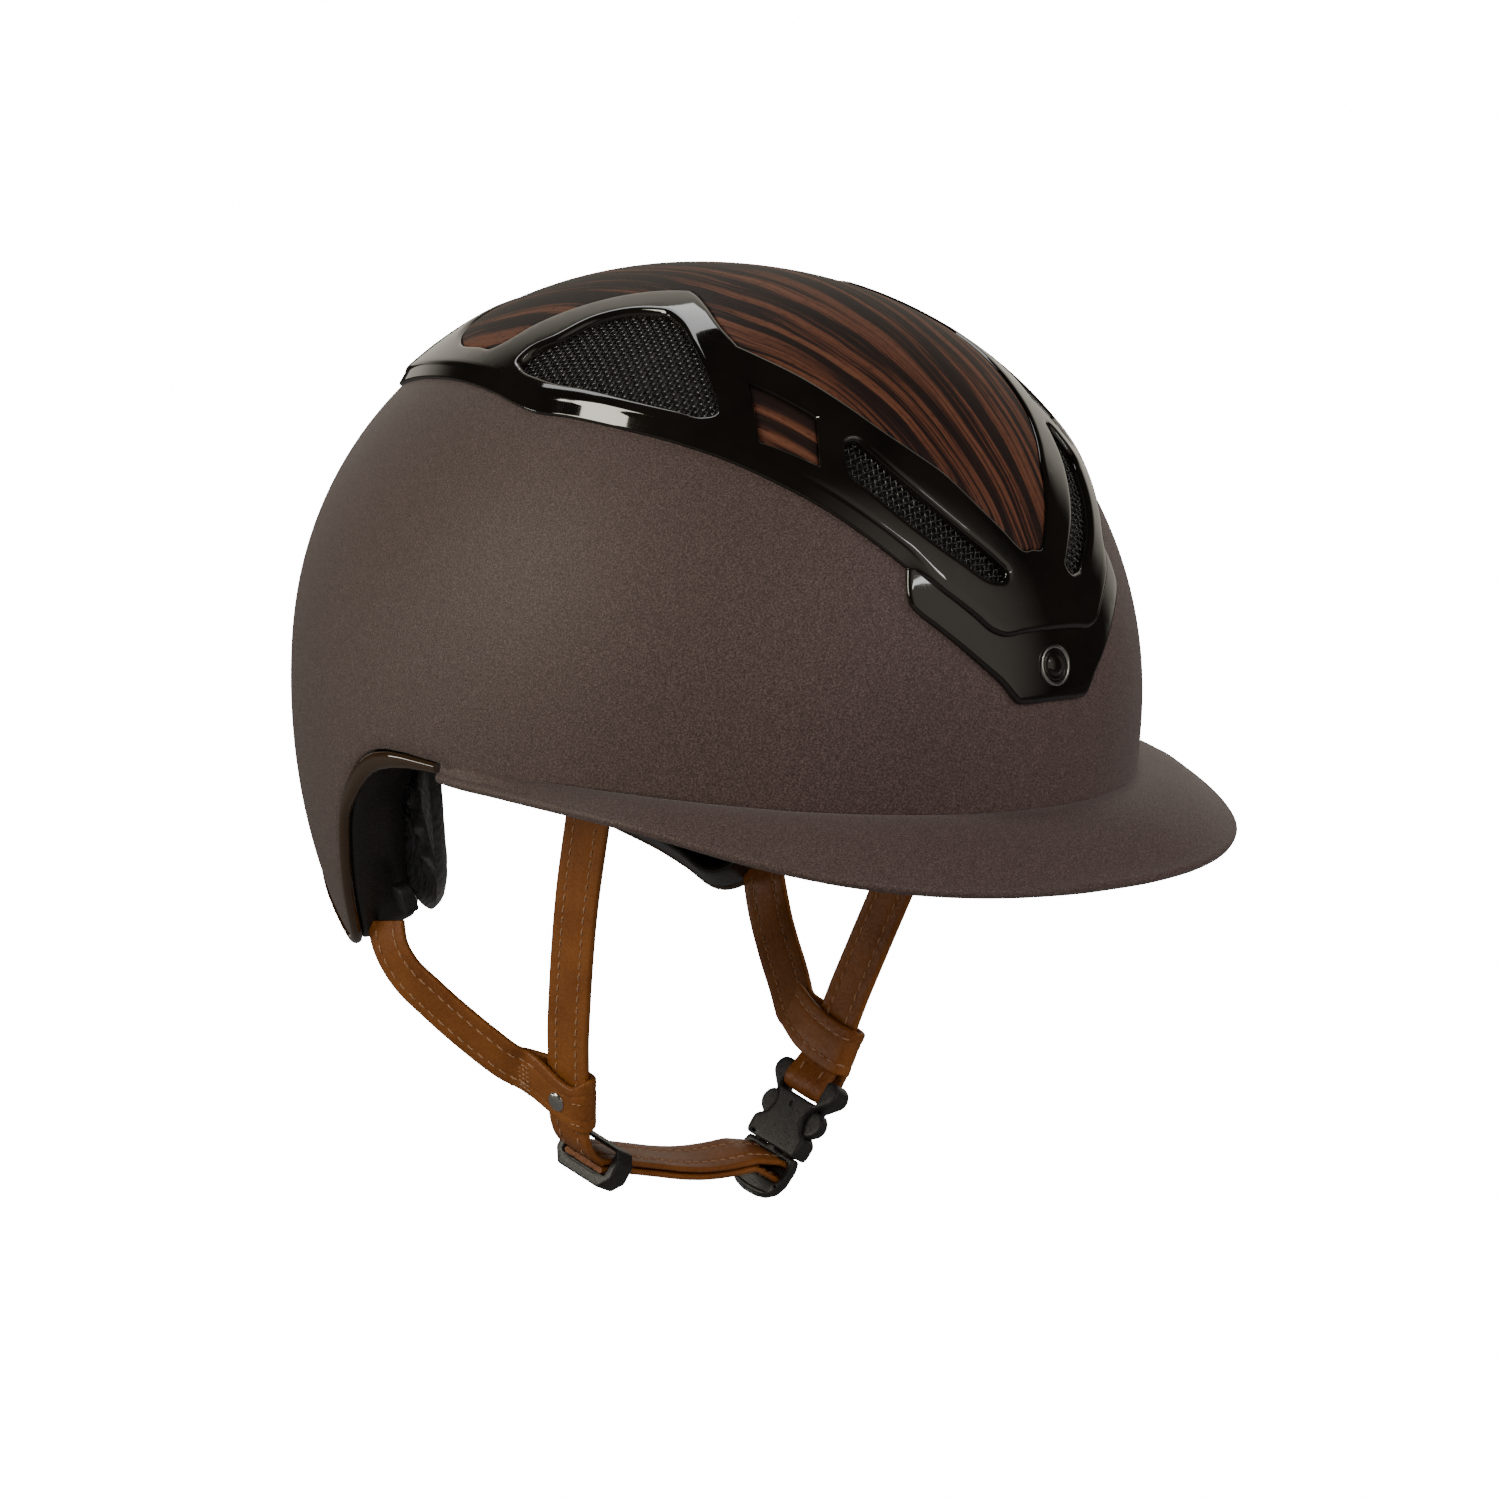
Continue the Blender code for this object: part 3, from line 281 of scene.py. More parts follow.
def distances(path):
    """How far along a path each of its points lies."""
    return np.concatenate([[0], np.cumsum(np.linalg.norm(np.diff(path, axis=0), axis=1))])


def read_off(at, marks, points):
    """Points of a path at given marks, where marks holds the mark of each of its points."""
    return np.stack([np.interp(at, marks, points[:, k]) for k in range(points.shape[1])], -1)


def even(points, spacing):
    marks = distances(points)
    count = max(1, round(marks[-1] / spacing))
    return read_off(np.linspace(0, marks[-1], count + 1), marks, points)


def smooth_loop(points, spacing):
    """A closed smooth curve through the given points; a point given twice running is a corner."""
    points = [tuple(map(float, p)) for p in points]
    corners = [i for i in range(len(points)) if points[i] == points[i - 1]]
    if not corners:
        ring = np.array(points)
        ahead = np.roll(ring, -1, 0)
        gap = np.linalg.norm(ahead - ring, axis=1)[:, None]
        rate = (ahead - ring) / gap
        before, gap_before = np.roll(rate, 1, 0), np.roll(gap, 1, 0)
        slope = (before * gap + rate * gap_before) / (gap + gap_before)
        dense = [hermite(*given) for given in zip(ring, ahead, slope, np.roll(slope, -1, 0), gap)]
        return even(np.vstack(dense + [ring[:1]]), spacing)[:-1]
    found = []
    for a, b in zip(corners, corners[1:] + [corners[0] + len(points)]):
        span = [points[k % len(points)] for k in range(a, b)]
        found.append(smooth_span(span, spacing)[:-1])
    return np.vstack(found)


def whole(half):
    """A closed outline from the half on the wearer's right."""
    return list(half) + [(-u, v) for u, v in reversed(half)][1:-1]


def anticlockwise(loop):
    area = np.sum(loop[:, 0] * np.roll(loop[:, 1], -1) - np.roll(loop[:, 0], -1) * loop[:, 1])
    return loop if area > 0 else loop[::-1]


# Least share of a bisector that lies along a side, which limits how far a sharp corner moves
SHARPEST_CORNER = 0.55
# Most places compared with a whole outline at once
BATCH = 2000


def inset(surface, loop, distance):
    """A closed loop of places moved to its left over the surface by a distance in millimetres."""
    points = surface.at(loop)
    after = unit_rows(np.roll(points, -1, 0) - points)
    before = np.roll(after, 1, 0)
    normal = surface.normal(points)
    sides = [np.cross(normal, e) for e in (before, after)]
    bisector = unit_rows(sides[0] + sides[1])
    stretch = 1 / np.maximum(SHARPEST_CORNER, np.sum(bisector * sides[0], axis=1))
    return surface.place_of(points + bisector * (distance * stretch)[:, None])


def inside(places, loop):
    """Which places lie inside a closed loop, by the even-odd rule."""
    places = np.asarray(places, float)
    found = np.zeros(len(places), bool)
    nxt = np.roll(loop, -1, 0)
    for start in range(0, len(places), BATCH):
        x, y = places[start:start + BATCH, 0][:, None], places[start:start + BATCH, 1][:, None]
        above = (loop[:, 1] > y) != (nxt[:, 1] > y)
        run = nxt[:, 1] - loop[:, 1]
        cross = loop[:, 0] + (y - loop[:, 1]) * (nxt[:, 0] - loop[:, 0]) / np.where(run == 0, 1, run)
        found[start:start + BATCH] = np.sum(above & (x < cross), axis=1) % 2 == 1
    return found


def nearest_gap(places, loops):
    chain = np.vstack(loops)
    return np.concatenate([np.sqrt(((places[k:k + BATCH, None] - chain) ** 2).sum(2)).min(1)
                           for k in range(0, len(places), BATCH)])


# ------------------------------------------------------------------------------------------------ meshes

def add_object(name, data):
    made = bpy.data.objects.new(name, data)
    bpy.context.scene.collection.objects.link(made)
    return made


class Build:
    """Points and faces of one piece, gathered part by part."""

    def __init__(self):
        self.points = []
        self.faces = []
        self.count = 0

    def add(self, points):
        points = np.asarray(points, float).reshape(-1, 3)
        first = self.count
        self.points.append(points)
        self.count += len(points)
        return first

    def strip(self, first, second, size, flip=False):
        """Quads between two closed chains of the same number of points."""
        for i in range(size):
            j = (i + 1) % size
            face = (first + i, first + j, second + j, second + i)
            self.faces.append(face[::-1] if flip else face)

    def tube(self, sections):
        """A solid through a row of matching closed sections, wound so that it faces out."""
        size = len(sections[0])
        starts = [self.add(s) for s in sections]
        spine = np.mean(sections[1], 0) - np.mean(sections[0], 0)
        ring = np.asarray(sections[0], float)
        middle = ring.mean(0)
        turn = np.cross(ring - middle, np.roll(ring, -1, 0) - middle).sum(0)
        flip = np.dot(turn, spine) < 0
        for a, b in zip(starts, starts[1:]):
            self.strip(a, b, size, flip=flip)
        for start, back in ((starts[0], not flip), (starts[-1], flip)):
            face = tuple(range(start, start + size))
            self.faces.append(face[::-1] if back else face)

    def mesh(self, name, finish, sharp=48.0):
        mesh = bpy.data.meshes.new(name)
        mesh.from_pydata((np.vstack(self.points) * MM).tolist(), [], self.faces)
        mesh.validate()
        mesh.shade_smooth()
        mesh.set_sharp_from_angle(angle=math.radians(sharp))
        mesh.materials.append(finish)
        return add_object(name, mesh)

    def piece(self, name, finish, body=ROOT, nodes=(), sharp=48.0):
        return settle(self.mesh(name, finish, sharp), body, nodes)


def settle(made, body=ROOT, nodes=()):
    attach(made, body)
    if nodes:
        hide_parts(*nodes)
    return made


# Distance in from an edge over which a relief grows to its full height
RELIEF_FADE = 4.0
# Height of an equilateral triangle's row, as a share of its side
ROW_PITCH = 0.866


def moulded(build, surface, edges, foot, spacing, relief=None, flip=False):
    """A moulded skin inside an outer loop and round its holes.

    edges is a list of (loop, profile), the outer loop first. A profile lists (distance in from that edge, lift),
    ending at the face's own lift. foot is the lift at which the edges' walls end, or None for no walls.
    """
    last_loops = []
    last_starts = []
    for order, (loop, profile) in enumerate(edges):
        loop = anticlockwise(np.asarray(loop, float))
        if order:
            loop = loop[::-1]
        rings = []
        for distance, lift in profile:
            ring = inset(surface, loop, distance) if np.any(distance) else loop
            added = 0 if relief is None else relief(ring) * min(1, distance / RELIEF_FADE)
            rings.append(build.add(surface.at(ring, lift + added)))
        if foot is not None:
            wall = build.add(surface.at(loop, foot))
            build.strip(wall, rings[0], len(loop), flip=flip)
        for a, b in zip(rings, rings[1:]):
            build.strip(a, b, len(loop), flip=flip)
        last_loops.append(ring)
        last_starts.append(rings[-1])
    face_lift = float(np.max(edges[0][1][-1][1]))
    outer = last_loops[0]
    low, high = outer.min(0), outer.max(0)
    rows = np.arange(low[1] + spacing * 0.3, high[1], spacing * ROW_PITCH)
    grid = [(x + (0.5 * spacing if r % 2 else 0), y) for r, y in enumerate(rows)
            for x in np.arange(low[0], high[0] + spacing, spacing)]
    grid = np.array(grid, float).reshape(-1, 2)
    if len(grid):
        keep = inside(grid, outer)
        for hole in last_loops[1:]:
            keep &= ~inside(grid, hole)
        grid = grid[keep]
        grid = grid[nearest_gap(grid, last_loops) > spacing * 0.5] if len(grid) else grid
    places = np.vstack(last_loops + ([grid] if len(grid) else []))
    chains = []
    first = 0
    for loop in last_loops:
        chains += [(first + i, first + (i + 1) % len(loop)) for i in range(len(loop))]
        first += len(loop)
    found, _, faces, origins, _, _ = delaunay_2d_cdt([Vector(p) for p in places.tolist()], chains, [], 0, 1e-5)
    found = np.array([tuple(p) for p in found])
    loops_size = sum(len(loop) for loop in last_loops)
    given = np.concatenate([np.arange(start, start + len(loop)) for start, loop in zip(last_starts, last_loops)])
    added = 0 if relief is None else relief(found)
    start = build.add(surface.at(found, face_lift + added))
    number = [next((int(given[k]) for k in origins[i] if k < loops_size), start + i) for i in range(len(found))]
    corners = [f for f in faces if len(f) == 3]
    middles = np.array([found[list(f)].mean(0) for f in corners])
    keep = inside(middles, outer)
    for hole in last_loops[1:]:
        keep &= ~inside(middles, hole)
    for face, kept in zip(corners, keep):
        if kept:
            a, b, c = (found[k] for k in face)
            positive = (b[0] - a[0]) * (c[1] - a[1]) - (b[1] - a[1]) * (c[0] - a[0]) > 0
            face = [number[k] for k in face]
            build.faces.append(tuple(face if positive != flip else reversed(face)))
    return build


def slab(build, plane, outline, profile, spacing, holes=(), hole_profile=None):
    """A flat moulded solid: the same profile on both faces, meeting at the middle plane."""
    for flip, sign in ((False, 1), (True, -1)):
        edges = [(outline, [(d, sign * h) for d, h in profile])]
        edges += [(hole, [(d, sign * h) for d, h in hole_profile]) for hole in holes]
        moulded(build, plane, edges, 0.0, spacing, flip=flip)
    return build


def rounded_edge(height, radius, steps=4):
    """Profile of an edge rounded by a radius, up to a face at a height."""
    turns = [math.pi / 2 * i / steps for i in range(steps + 1)]
    return [(radius * (1 - math.cos(turn)), height - radius * (1 - math.sin(turn))) for turn in turns]


# --------------------------------------------------------------------------------------------- materials

class Finish:
    """A node material under construction: a Principled shader and short ways to feed it."""

    def __init__(self, name):
        self.material = bpy.data.materials.new(name)
        self.material.use_nodes = True
        self.tree = self.material.node_tree
        self.shader = self.tree.nodes["Principled BSDF"]
        self.coordinates = self.node("ShaderNodeTexCoord").outputs["Object"]

    def node(self, kind, **values):
        made = self.tree.nodes.new(kind)
        for key, value in values.items():
            setattr(made, key, value)
        return made

    def set(self, **values):
        for key, value in values.items():
            self.shader.inputs[key.replace("_", " ")].default_value = value
        return self

    def feed(self, socket, value):
        if isinstance(value, bpy.types.NodeSocket):
            self.tree.links.new(value, socket)
        else:
            socket.default_value = value

    def noise(self, scale, detail=4.0, roughness=0.5, at=None, distortion=0.0):
        made = self.node("ShaderNodeTexNoise")
        for key, value in (("Vector", at or self.coordinates), ("Scale", scale), ("Detail", detail),
                           ("Roughness", roughness), ("Distortion", distortion)):
            self.feed(made.inputs[key], value)
        return made.outputs["Fac"]

    def cells(self, scale, feature="F1"):
        made = self.node("ShaderNodeTexVoronoi", feature=feature)
        self.feed(made.inputs["Vector"], self.coordinates)
        self.feed(made.inputs["Scale"], scale)
        return made.outputs["Distance"]

    def stretched(self, scale, turn=(0, 0, 0)):
        made = self.node("ShaderNodeMapping")
        for key, value in (("Vector", self.coordinates), ("Scale", scale), ("Rotation", turn)):
            self.feed(made.inputs[key], value)
        return made.outputs["Vector"]

    def pack(self, x, y, z=0.0):
        made = self.node("ShaderNodeCombineXYZ")
        for socket, value in zip(made.inputs, (x, y, z)):
            self.feed(socket, value)
        return made.outputs[0]

    def ramp(self, value, stops):
        made = self.node("ShaderNodeValToRGB")
        self.feed(made.inputs["Fac"], value)
        while len(made.color_ramp.elements) < len(stops):
            made.color_ramp.elements.new(0.5)
        for element, (position, colour) in zip(made.color_ramp.elements, stops):
            element.position = position
            element.color = (*colour, 1.0)
        return made.outputs["Color"]

    def grey(self, value, low, high, start=0.0, end=1.0):
        made = self.node("ShaderNodeMapRange")
        for key, given in (("Value", value), ("From Min", start), ("From Max", end), ("To Min", low),
                           ("To Max", high)):
            self.feed(made.inputs[key], given)
        return made.outputs["Result"]

    def math(self, operation, a, b=0.5, c=0.5):
        made = self.node("ShaderNodeMath", operation=operation)
        for socket, value in zip(made.inputs, (a, b, c)):
            self.feed(socket, value)
        return made.outputs[0]

    def mix(self, share, a, b, blend="MIX"):
        made = self.node("ShaderNodeMix", data_type="RGBA", blend_type=blend)
        for key, value in ((0, share), (6, a), (7, b)):
            self.feed(made.inputs[key], (*value, 1.0) if isinstance(value, tuple) else value)
        return made.outputs[2]

    def bump(self, *layers):
        """Bump from (height, distance in metres) layers, one over the other."""
        below = None
        for height, distance in layers:
            made = self.node("ShaderNodeBump")
            self.feed(made.inputs["Height"], height)
            made.inputs["Distance"].default_value = distance
            if below:
                self.feed(made.inputs["Normal"], below)
            below = made.outputs["Normal"]
        self.feed(self.shader.inputs["Normal"], below)
        return self

    def colour(self, value):
        self.feed(self.shader.inputs["Base Color"], value)
        return self

    def rough(self, value):
        self.feed(self.shader.inputs["Roughness"], value)
        return self


def shell_paint():
    """Matte brown lacquer with a fine dark and light speckle."""
    f = Finish("brown_shell_paint")
    speck = f.ramp(f.noise(2300, 2.0), [(0.32, (0.036, 0.0215, 0.0175)), (0.50, (0.063, 0.042, 0.038)),
                                        (0.68, (0.116, 0.083, 0.075))])
    drift = f.mix(f.noise(9, 2.0), (0.88, 0.88, 0.88), (1.12, 1.1, 1.08))
    f.colour(f.mix(1.0, speck, drift, "MULTIPLY"))
    f.rough(f.grey(f.noise(1700, 2.0), 0.48, 0.66))
    f.bump((f.noise(2100, 2.0), 0.00012), (f.noise(70, 3.0), 0.00006))
    f.set(Specular_IOR_Level=0.42, Sheen_Weight=0.10, Sheen_Roughness=0.5)
    return f.material


def gloss_black():
    """Deep gloss black moulding with a trace of brown and fine polishing marks."""
    f = Finish("gloss_black_trim")
    f.colour(f.ramp(f.noise(40, 3.0), [(0.3, (0.0045, 0.0038, 0.0030)), (0.7, (0.0085, 0.0070, 0.0056))]))
    f.rough(f.grey(f.noise(160, 6.0), 0.035, 0.085, 0.3, 0.7))
    f.bump((f.noise(55, 2.0), 0.00004))
    f.set(Specular_IOR_Level=0.55, Coat_Weight=0.6, Coat_Roughness=0.03)
    return f.material


def wood():
    """Reddish brown veneer with near-black streaks that run fore and aft."""
    f = Finish("dark_wood")
    place = f.node("ShaderNodeSeparateXYZ")
    f.feed(place.inputs[0], f.coordinates)
    x, y, z = place.outputs
    fore = f.math("ARCTAN2", f.math("MULTIPLY", y, -1.0), f.math("ADD", z, -float(CENTRE[2]) * MM))
    squeeze = f.math("MULTIPLY_ADD", f.math("POWER", f.math("MAXIMUM", fore, 0.0), 2.0), 0.85, 1.0)
    lane = f.math("MULTIPLY", x, squeeze)
    wobble = f.grey(f.noise(1.0, 2.0, 0.5, f.pack(f.math("MULTIPLY", lane, 22.0), f.math("MULTIPLY", fore, 2.2))),
                    -0.0045, 0.0045)
    lane = f.math("ADD", lane, wobble)

    def grain(across, along, detail, rough):
        at = f.pack(f.math("MULTIPLY", lane, across), f.math("MULTIPLY", fore, along))
        return f.noise(1.0, detail, rough, at)

    bands = grain(190, 0.9, 2.0, 0.45)
    lines = grain(620, 1.6, 3.0, 0.6)
    fibre = grain(2400, 7.0, 3.0, 0.6)
    pores = grain(2600, 34.0, 2.0, 0.5)
    streak = f.math("ADD", f.math("MULTIPLY", bands, 0.62), f.math("MULTIPLY", lines, 0.38))
    colour = f.ramp(streak, [(0.475, (0.0075, 0.0062, 0.0066)), (0.505, (0.017, 0.0105, 0.0095)),
                             (0.525, (0.070, 0.027, 0.016)), (0.57, (0.125, 0.050, 0.028)),
                             (0.70, (0.185, 0.080, 0.046))])
    colour = f.mix(f.grey(fibre, 0.0, 0.45, 0.35, 0.75), colour, (0.050, 0.020, 0.012))
    colour = f.mix(f.grey(pores, 0.8, 0.0, 0.30, 0.42), colour, (0.012, 0.007, 0.006))
    f.colour(colour)
    f.rough(f.grey(fibre, 0.45, 0.60))
    f.bump((pores, 0.00006), (lines, 0.00005))
    f.set(Coat_Weight=0.0, Specular_IOR_Level=0.14)
    return f.material


def dark_wire():
    """Glossy black lacquer on woven wire, worn a little on the crests."""
    f = Finish("dark_vent_mesh")
    f.colour(f.ramp(f.noise(500, 3.0), [(0.35, (0.010, 0.010, 0.010)), (0.75, (0.030, 0.029, 0.028))]))
    f.rough(f.grey(f.noise(900, 2.0), 0.14, 0.30))
    f.bump((f.noise(1600, 2.0), 0.00004))
    f.set(Specular_IOR_Level=0.8, Coat_Weight=0.5, Coat_Roughness=0.1)
    return f.material


def bronze():
    """Glossy dark bronze lacquer with fine metal flake."""
    f = Finish("bronze_edge")
    flake = f.cells(2600)
    f.colour(f.mix(f.grey(flake, 0.0, 0.5), (0.034, 0.017, 0.0065), (0.070, 0.036, 0.015)))
    f.rough(f.grey(f.noise(300, 3.0), 0.06, 0.12))
    f.bump((f.noise(120, 2.0), 0.00003))
    f.set(Metallic=0.25, Coat_Weight=1.0, Coat_Roughness=0.03)
    return f.material


def leather():
    """Smooth tan leather: fine pebble grain, soft creases, tone variation."""
    f = Finish("tan_leather")
    pebble = f.cells(1150, "SMOOTH_F1")
    crease = f.noise(240, 5.0, 0.65, None, 0.4)
    base = f.ramp(f.noise(60, 4.0), [(0.25, (0.125, 0.036, 0.0055)), (0.55, (0.195, 0.064, 0.0105)),
                                     (0.85, (0.250, 0.092, 0.018))])
    colour = f.mix(f.grey(crease, 0.0, 0.30, 0.45, 0.75), base, (0.115, 0.040, 0.012))
    f.colour(f.mix(f.grey(pebble, 0.18, 0.0, 0.0, 0.6), colour, (0.330, 0.150, 0.055)))
    f.rough(f.grey(crease, 0.40, 0.55))
    f.bump((pebble, 0.00010), (crease, 0.00012))
    f.set(Specular_IOR_Level=0.38, Coat_Weight=0.06, Coat_Roughness=0.35)
    return f.material


def thread():
    """Waxed linen thread with a twisted lay."""
    f = Finish("stitch_thread")
    lay = f.noise(2600, 2.0, 0.5, f.stretched((1.0, 1.0, 1.0), (0.5, 0.4, 0.0)))
    f.colour(f.ramp(lay, [(0.35, (0.20, 0.095, 0.042)), (0.65, (0.42, 0.240, 0.125))]))
    f.rough(f.grey(lay, 0.55, 0.75))
    f.bump((lay, 0.0001))
    f.set(Sheen_Weight=0.15)
    return f.material


def buckle_plastic(name="buckle_plastic", tone=1.0, rough=0.42):
    """Black acetal with a fine spark texture."""
    f = Finish(name)
    spark = f.noise(1500, 3.0)
    f.colour(f.ramp(spark, [(0.3, (0.010 * tone, 0.010 * tone, 0.010 * tone)),
                            (0.7, (0.026 * tone, 0.025 * tone, 0.024 * tone))]))
    f.rough(f.grey(f.noise(700, 4.0), rough - 0.07, rough + 0.10))
    f.bump((spark, 0.00007), (f.noise(180, 2.0), 0.00004))
    f.set(Specular_IOR_Level=0.5)
    return f.material


def steel():
    """Polished nickel-plated steel with faint brushing."""
    f = Finish("bright_steel")
    brushed = f.noise(600, 4.0, 0.6, f.stretched((1.0, 6.0, 1.0)))
    f.colour(f.mix(brushed, (0.50, 0.49, 0.48), (0.72, 0.71, 0.70)))
    f.rough(f.grey(brushed, 0.14, 0.30))
    f.bump((brushed, 0.00003))
    f.set(Metallic=1.0)
    return f.material


def lining():
    """Matte knitted lining with an open mesh of small dimples."""
    f = Finish("black_padding")
    holes = f.cells(420.0)
    fuzz = f.noise(2600, 3.0)
    f.colour(f.mix(f.grey(holes, 0.0, 1.0, 0.15, 0.55), (0.0030, 0.0030, 0.0032), (0.012, 0.012, 0.0125)))
    f.rough(f.grey(fuzz, 0.82, 0.98))
    f.bump((holes, 0.0003), (fuzz, 0.00008))
    f.set(Sheen_Weight=0.35, Sheen_Roughness=0.6, Specular_IOR_Level=0.2)
    return f.material


def foam():
    """Black expanded bead foam with a moulded skin."""
    f = Finish("liner_foam")
    beads = f.cells(260, "SMOOTH_F1")
    f.colour(f.ramp(beads, [(0.0, (0.016, 0.016, 0.017)), (0.8, (0.007, 0.007, 0.0075))]))
    f.rough(f.grey(f.noise(500, 3.0), 0.62, 0.82))
    f.bump((beads, 0.0003))
    return f.material


PAINT = shell_paint()
BLACK = gloss_black()
WOOD = wood()
WIRE = dark_wire()
BRONZE = bronze()
LEATHER = leather()
THREAD = thread()
PLASTIC = buckle_plastic()
RIM_PLASTIC = buckle_plastic("rim_plastic", 0.7, 0.30)
ANCHOR = buckle_plastic("anchor_plastic", 0.8, 0.58)
STEEL = steel()
FOAM = foam()
LINING = lining()


# ------------------------------------------------------------------------------------- shell and its top

# Each side of the wearer and the sign of x there
SIDES = (("right", -1), ("left", 1))
# Lift of the black frame's face above the shell
FRAME_FACE = 2.9


def fine_loop(outline):
    return anticlockwise(smooth_loop(outline, 0.35))


WOOD_LOOP, TRIM_LOOP, PLATE_LOOP = (fine_loop(whole(half)) for half in (WOOD_HALF, TRIM_HALF, PLATE_HALF))
HOLES = {(label, side): fine_loop([(-sign * u, v) for u, v in outline])
         for label, outline in (("rear", REAR_VENT), ("front", FRONT_VENT), ("window", WINDOW))
         for side, sign in SIDES}
VENTS = {key: loop for key, loop in HOLES.items() if key[0] != "window"}


def make_shell():
    headings = np.arange(-180, 180, 1.2)
    rim = anticlockwise(map_place(headings, rim_polars(headings)))
    build = Build()
    holes = [inset(DOME, loop, -1.4) for loop in VENTS.values()]
    wall = [(0, -0.35), (0.35, 0.0)]
    moulded(build, DOME, [(rim, wall)] + [(hole, wall) for hole in holes], -2.3, 2.1)
    build.piece("shell", PAINT, nodes=["outer_shell"])


def make_top_frame():
    lip = [(0, 1.5), (0.25, 2.1), (0.7, 2.62), (1.3, 2.86), (2.0, FRAME_FACE)]
    band = [(0, 0.7), (0.2, 1.0), (0.5, 1.15), (3.4, 2.0), (3.9, 2.3), (4.3, 2.66), (5.0, 2.84), (6.0, FRAME_FACE)]
    beak = [(0, -0.2), (0.05, 1.2), (0.2, 2.0), (0.6, 2.6), (1.2, 2.9), (2.2, 3.0), (4.0, 2.95), (6.0, FRAME_FACE)]
    share = np.clip((-TRIM_LOOP[:, 1] - 60) / 7, 0, 1)
    share = share * share * (3 - 2 * share)
    rim = [tuple(np.stack([a, b]).T @ np.stack([1 - share, share]))
           for a, b in zip(np.array(band), np.array(beak))]
    edges = [(TRIM_LOOP, rim), (WOOD_LOOP, [(0, 2.0), (0.25, 2.45), (0.6, 2.72), (1.1, 2.86), (1.6, FRAME_FACE)])]
    edges += [(HOLES[key], lip) for key in HOLES]
    build = Build()
    moulded(build, DOME, edges, -0.6, 1.0)
    build.piece("top_frame_skin", BLACK, nodes=["top_frame"])


def make_wood():
    build = Build()
    edge = [(0, 1.7), (0.4, 2.05), (1.0, 2.15), (2.0, 2.2)]
    moulded(build, DOME, [(inset(DOME, WOOD_LOOP, 0.15), edge)], 0.4, 1.6)
    build.piece("wood_inlay", WOOD, nodes=["wood_panel"])
    edge = [(0, 1.0), (0.3, 1.2), (0.8, 1.25)]
    for side, _ in SIDES:
        build = Build()
        moulded(build, DOME, [(inset(DOME, HOLES["window", side], 0.1), edge)], 0.2, 1.5)
        build.piece(f"window_wood_{side}", WOOD, nodes=[f"window_inlay_{side}"])


def make_badge():
    build = Build()
    edge = [(0, 0.5), (0.25, 0.95), (0.6, 1.25), (1.1, 1.42), (1.6, 1.48)]
    moulded(build, DOME, [(PLATE_LOOP, edge)], -0.5, 1.2)
    build.piece("front_plate", BLACK, nodes=["badge_plate"])
    seat = DOME.at([BADGE_PLACE], 1.3)[0]
    out = DOME.normal([seat])[0]
    side = unit(np.cross([0, 0, 1], out))
    plane = Plane(seat, side, np.cross(out, side), out)
    ring = [(5.75, 0.0), (5.75, 0.55), (5.55, 0.82), (5.2, 0.92), (4.85, 0.82), (4.65, 0.5), (4.6, 0.0)]
    revolve("badge_ring_round", plane, ring, STEEL, ["badge_ring"], closed=True)
    boss = [(4.3, 0.0), (4.3, 0.25), (4.15, 0.42), (3.3, 0.5), (3.1, 0.42), (2.9, 0.42), (2.7, 0.62), (2.0, 0.85),
            (1.0, 0.98), (0.0, 1.02)]
    revolve("badge_boss_round", plane, boss, BLACK, ["badge_boss"])


def circle(sides):
    turn = np.linspace(0, 2 * np.pi, sides, endpoint=False)
    return np.stack([np.cos(turn), np.sin(turn)], 1)


def revolve(name, plane, profile, finish, nodes=(), body=ROOT, closed=False, sides=48):
    """A turned piece from (radius, height) points about the plane's normal."""
    build = Build()
    starts = []
    for radius, height in profile:
        if radius == 0:
            starts.append(None)
            tip = build.add(plane.at([(0, 0)], height))
        else:
            starts.append(build.add(plane.at(circle(sides) * radius, height)))
    for a, b in zip(starts, starts[1:]):
        if b is None:
            build.faces += [(a + i, a + (i + 1) % sides, tip) for i in range(sides)]
        else:
            build.strip(a, b, sides)
    if closed:
        build.strip(starts[-1], starts[0], sides)
    return build.piece(name, finish, body, nodes, sharp=60)


# Wires of the vents' meshes: their pitch on the angle map, points for each pitch, lift and how far they weave
WIRE_PITCH = 0.80
WIRE_POINTS = 4
WIRE_LIFT = -0.2
WIRE_WAVE = 0.30
# Directions of the two sets of wires on the right, and the wires' radius
WEAVES = {"rear": ((14, 104), 0.27), "front": ((62, -8), 0.29)}


def wire_runs(direction, outline):
    """Straight runs across an outline on the angle map, clipped to it."""
    along = np.array([math.cos(direction), math.sin(direction)])
    square = np.array([-along[1], along[0]])
    offsets = outline @ square
    reach = outline @ along
    runs = []
    for offset in np.arange(offsets.min() + WIRE_PITCH / 2, offsets.max(), WIRE_PITCH):
        at = np.arange(reach.min(), reach.max(), WIRE_PITCH / WIRE_POINTS)
        places = at[:, None] * along + offset * square
        kept = inside(places, outline)
        for start in np.flatnonzero(kept & ~np.roll(kept, 1)):
            end = start
            while end < len(kept) and kept[end]:
                end += 1
            if end - start > WIRE_POINTS:
                runs.append((places[start:end], at[start:end], offset))
    return runs


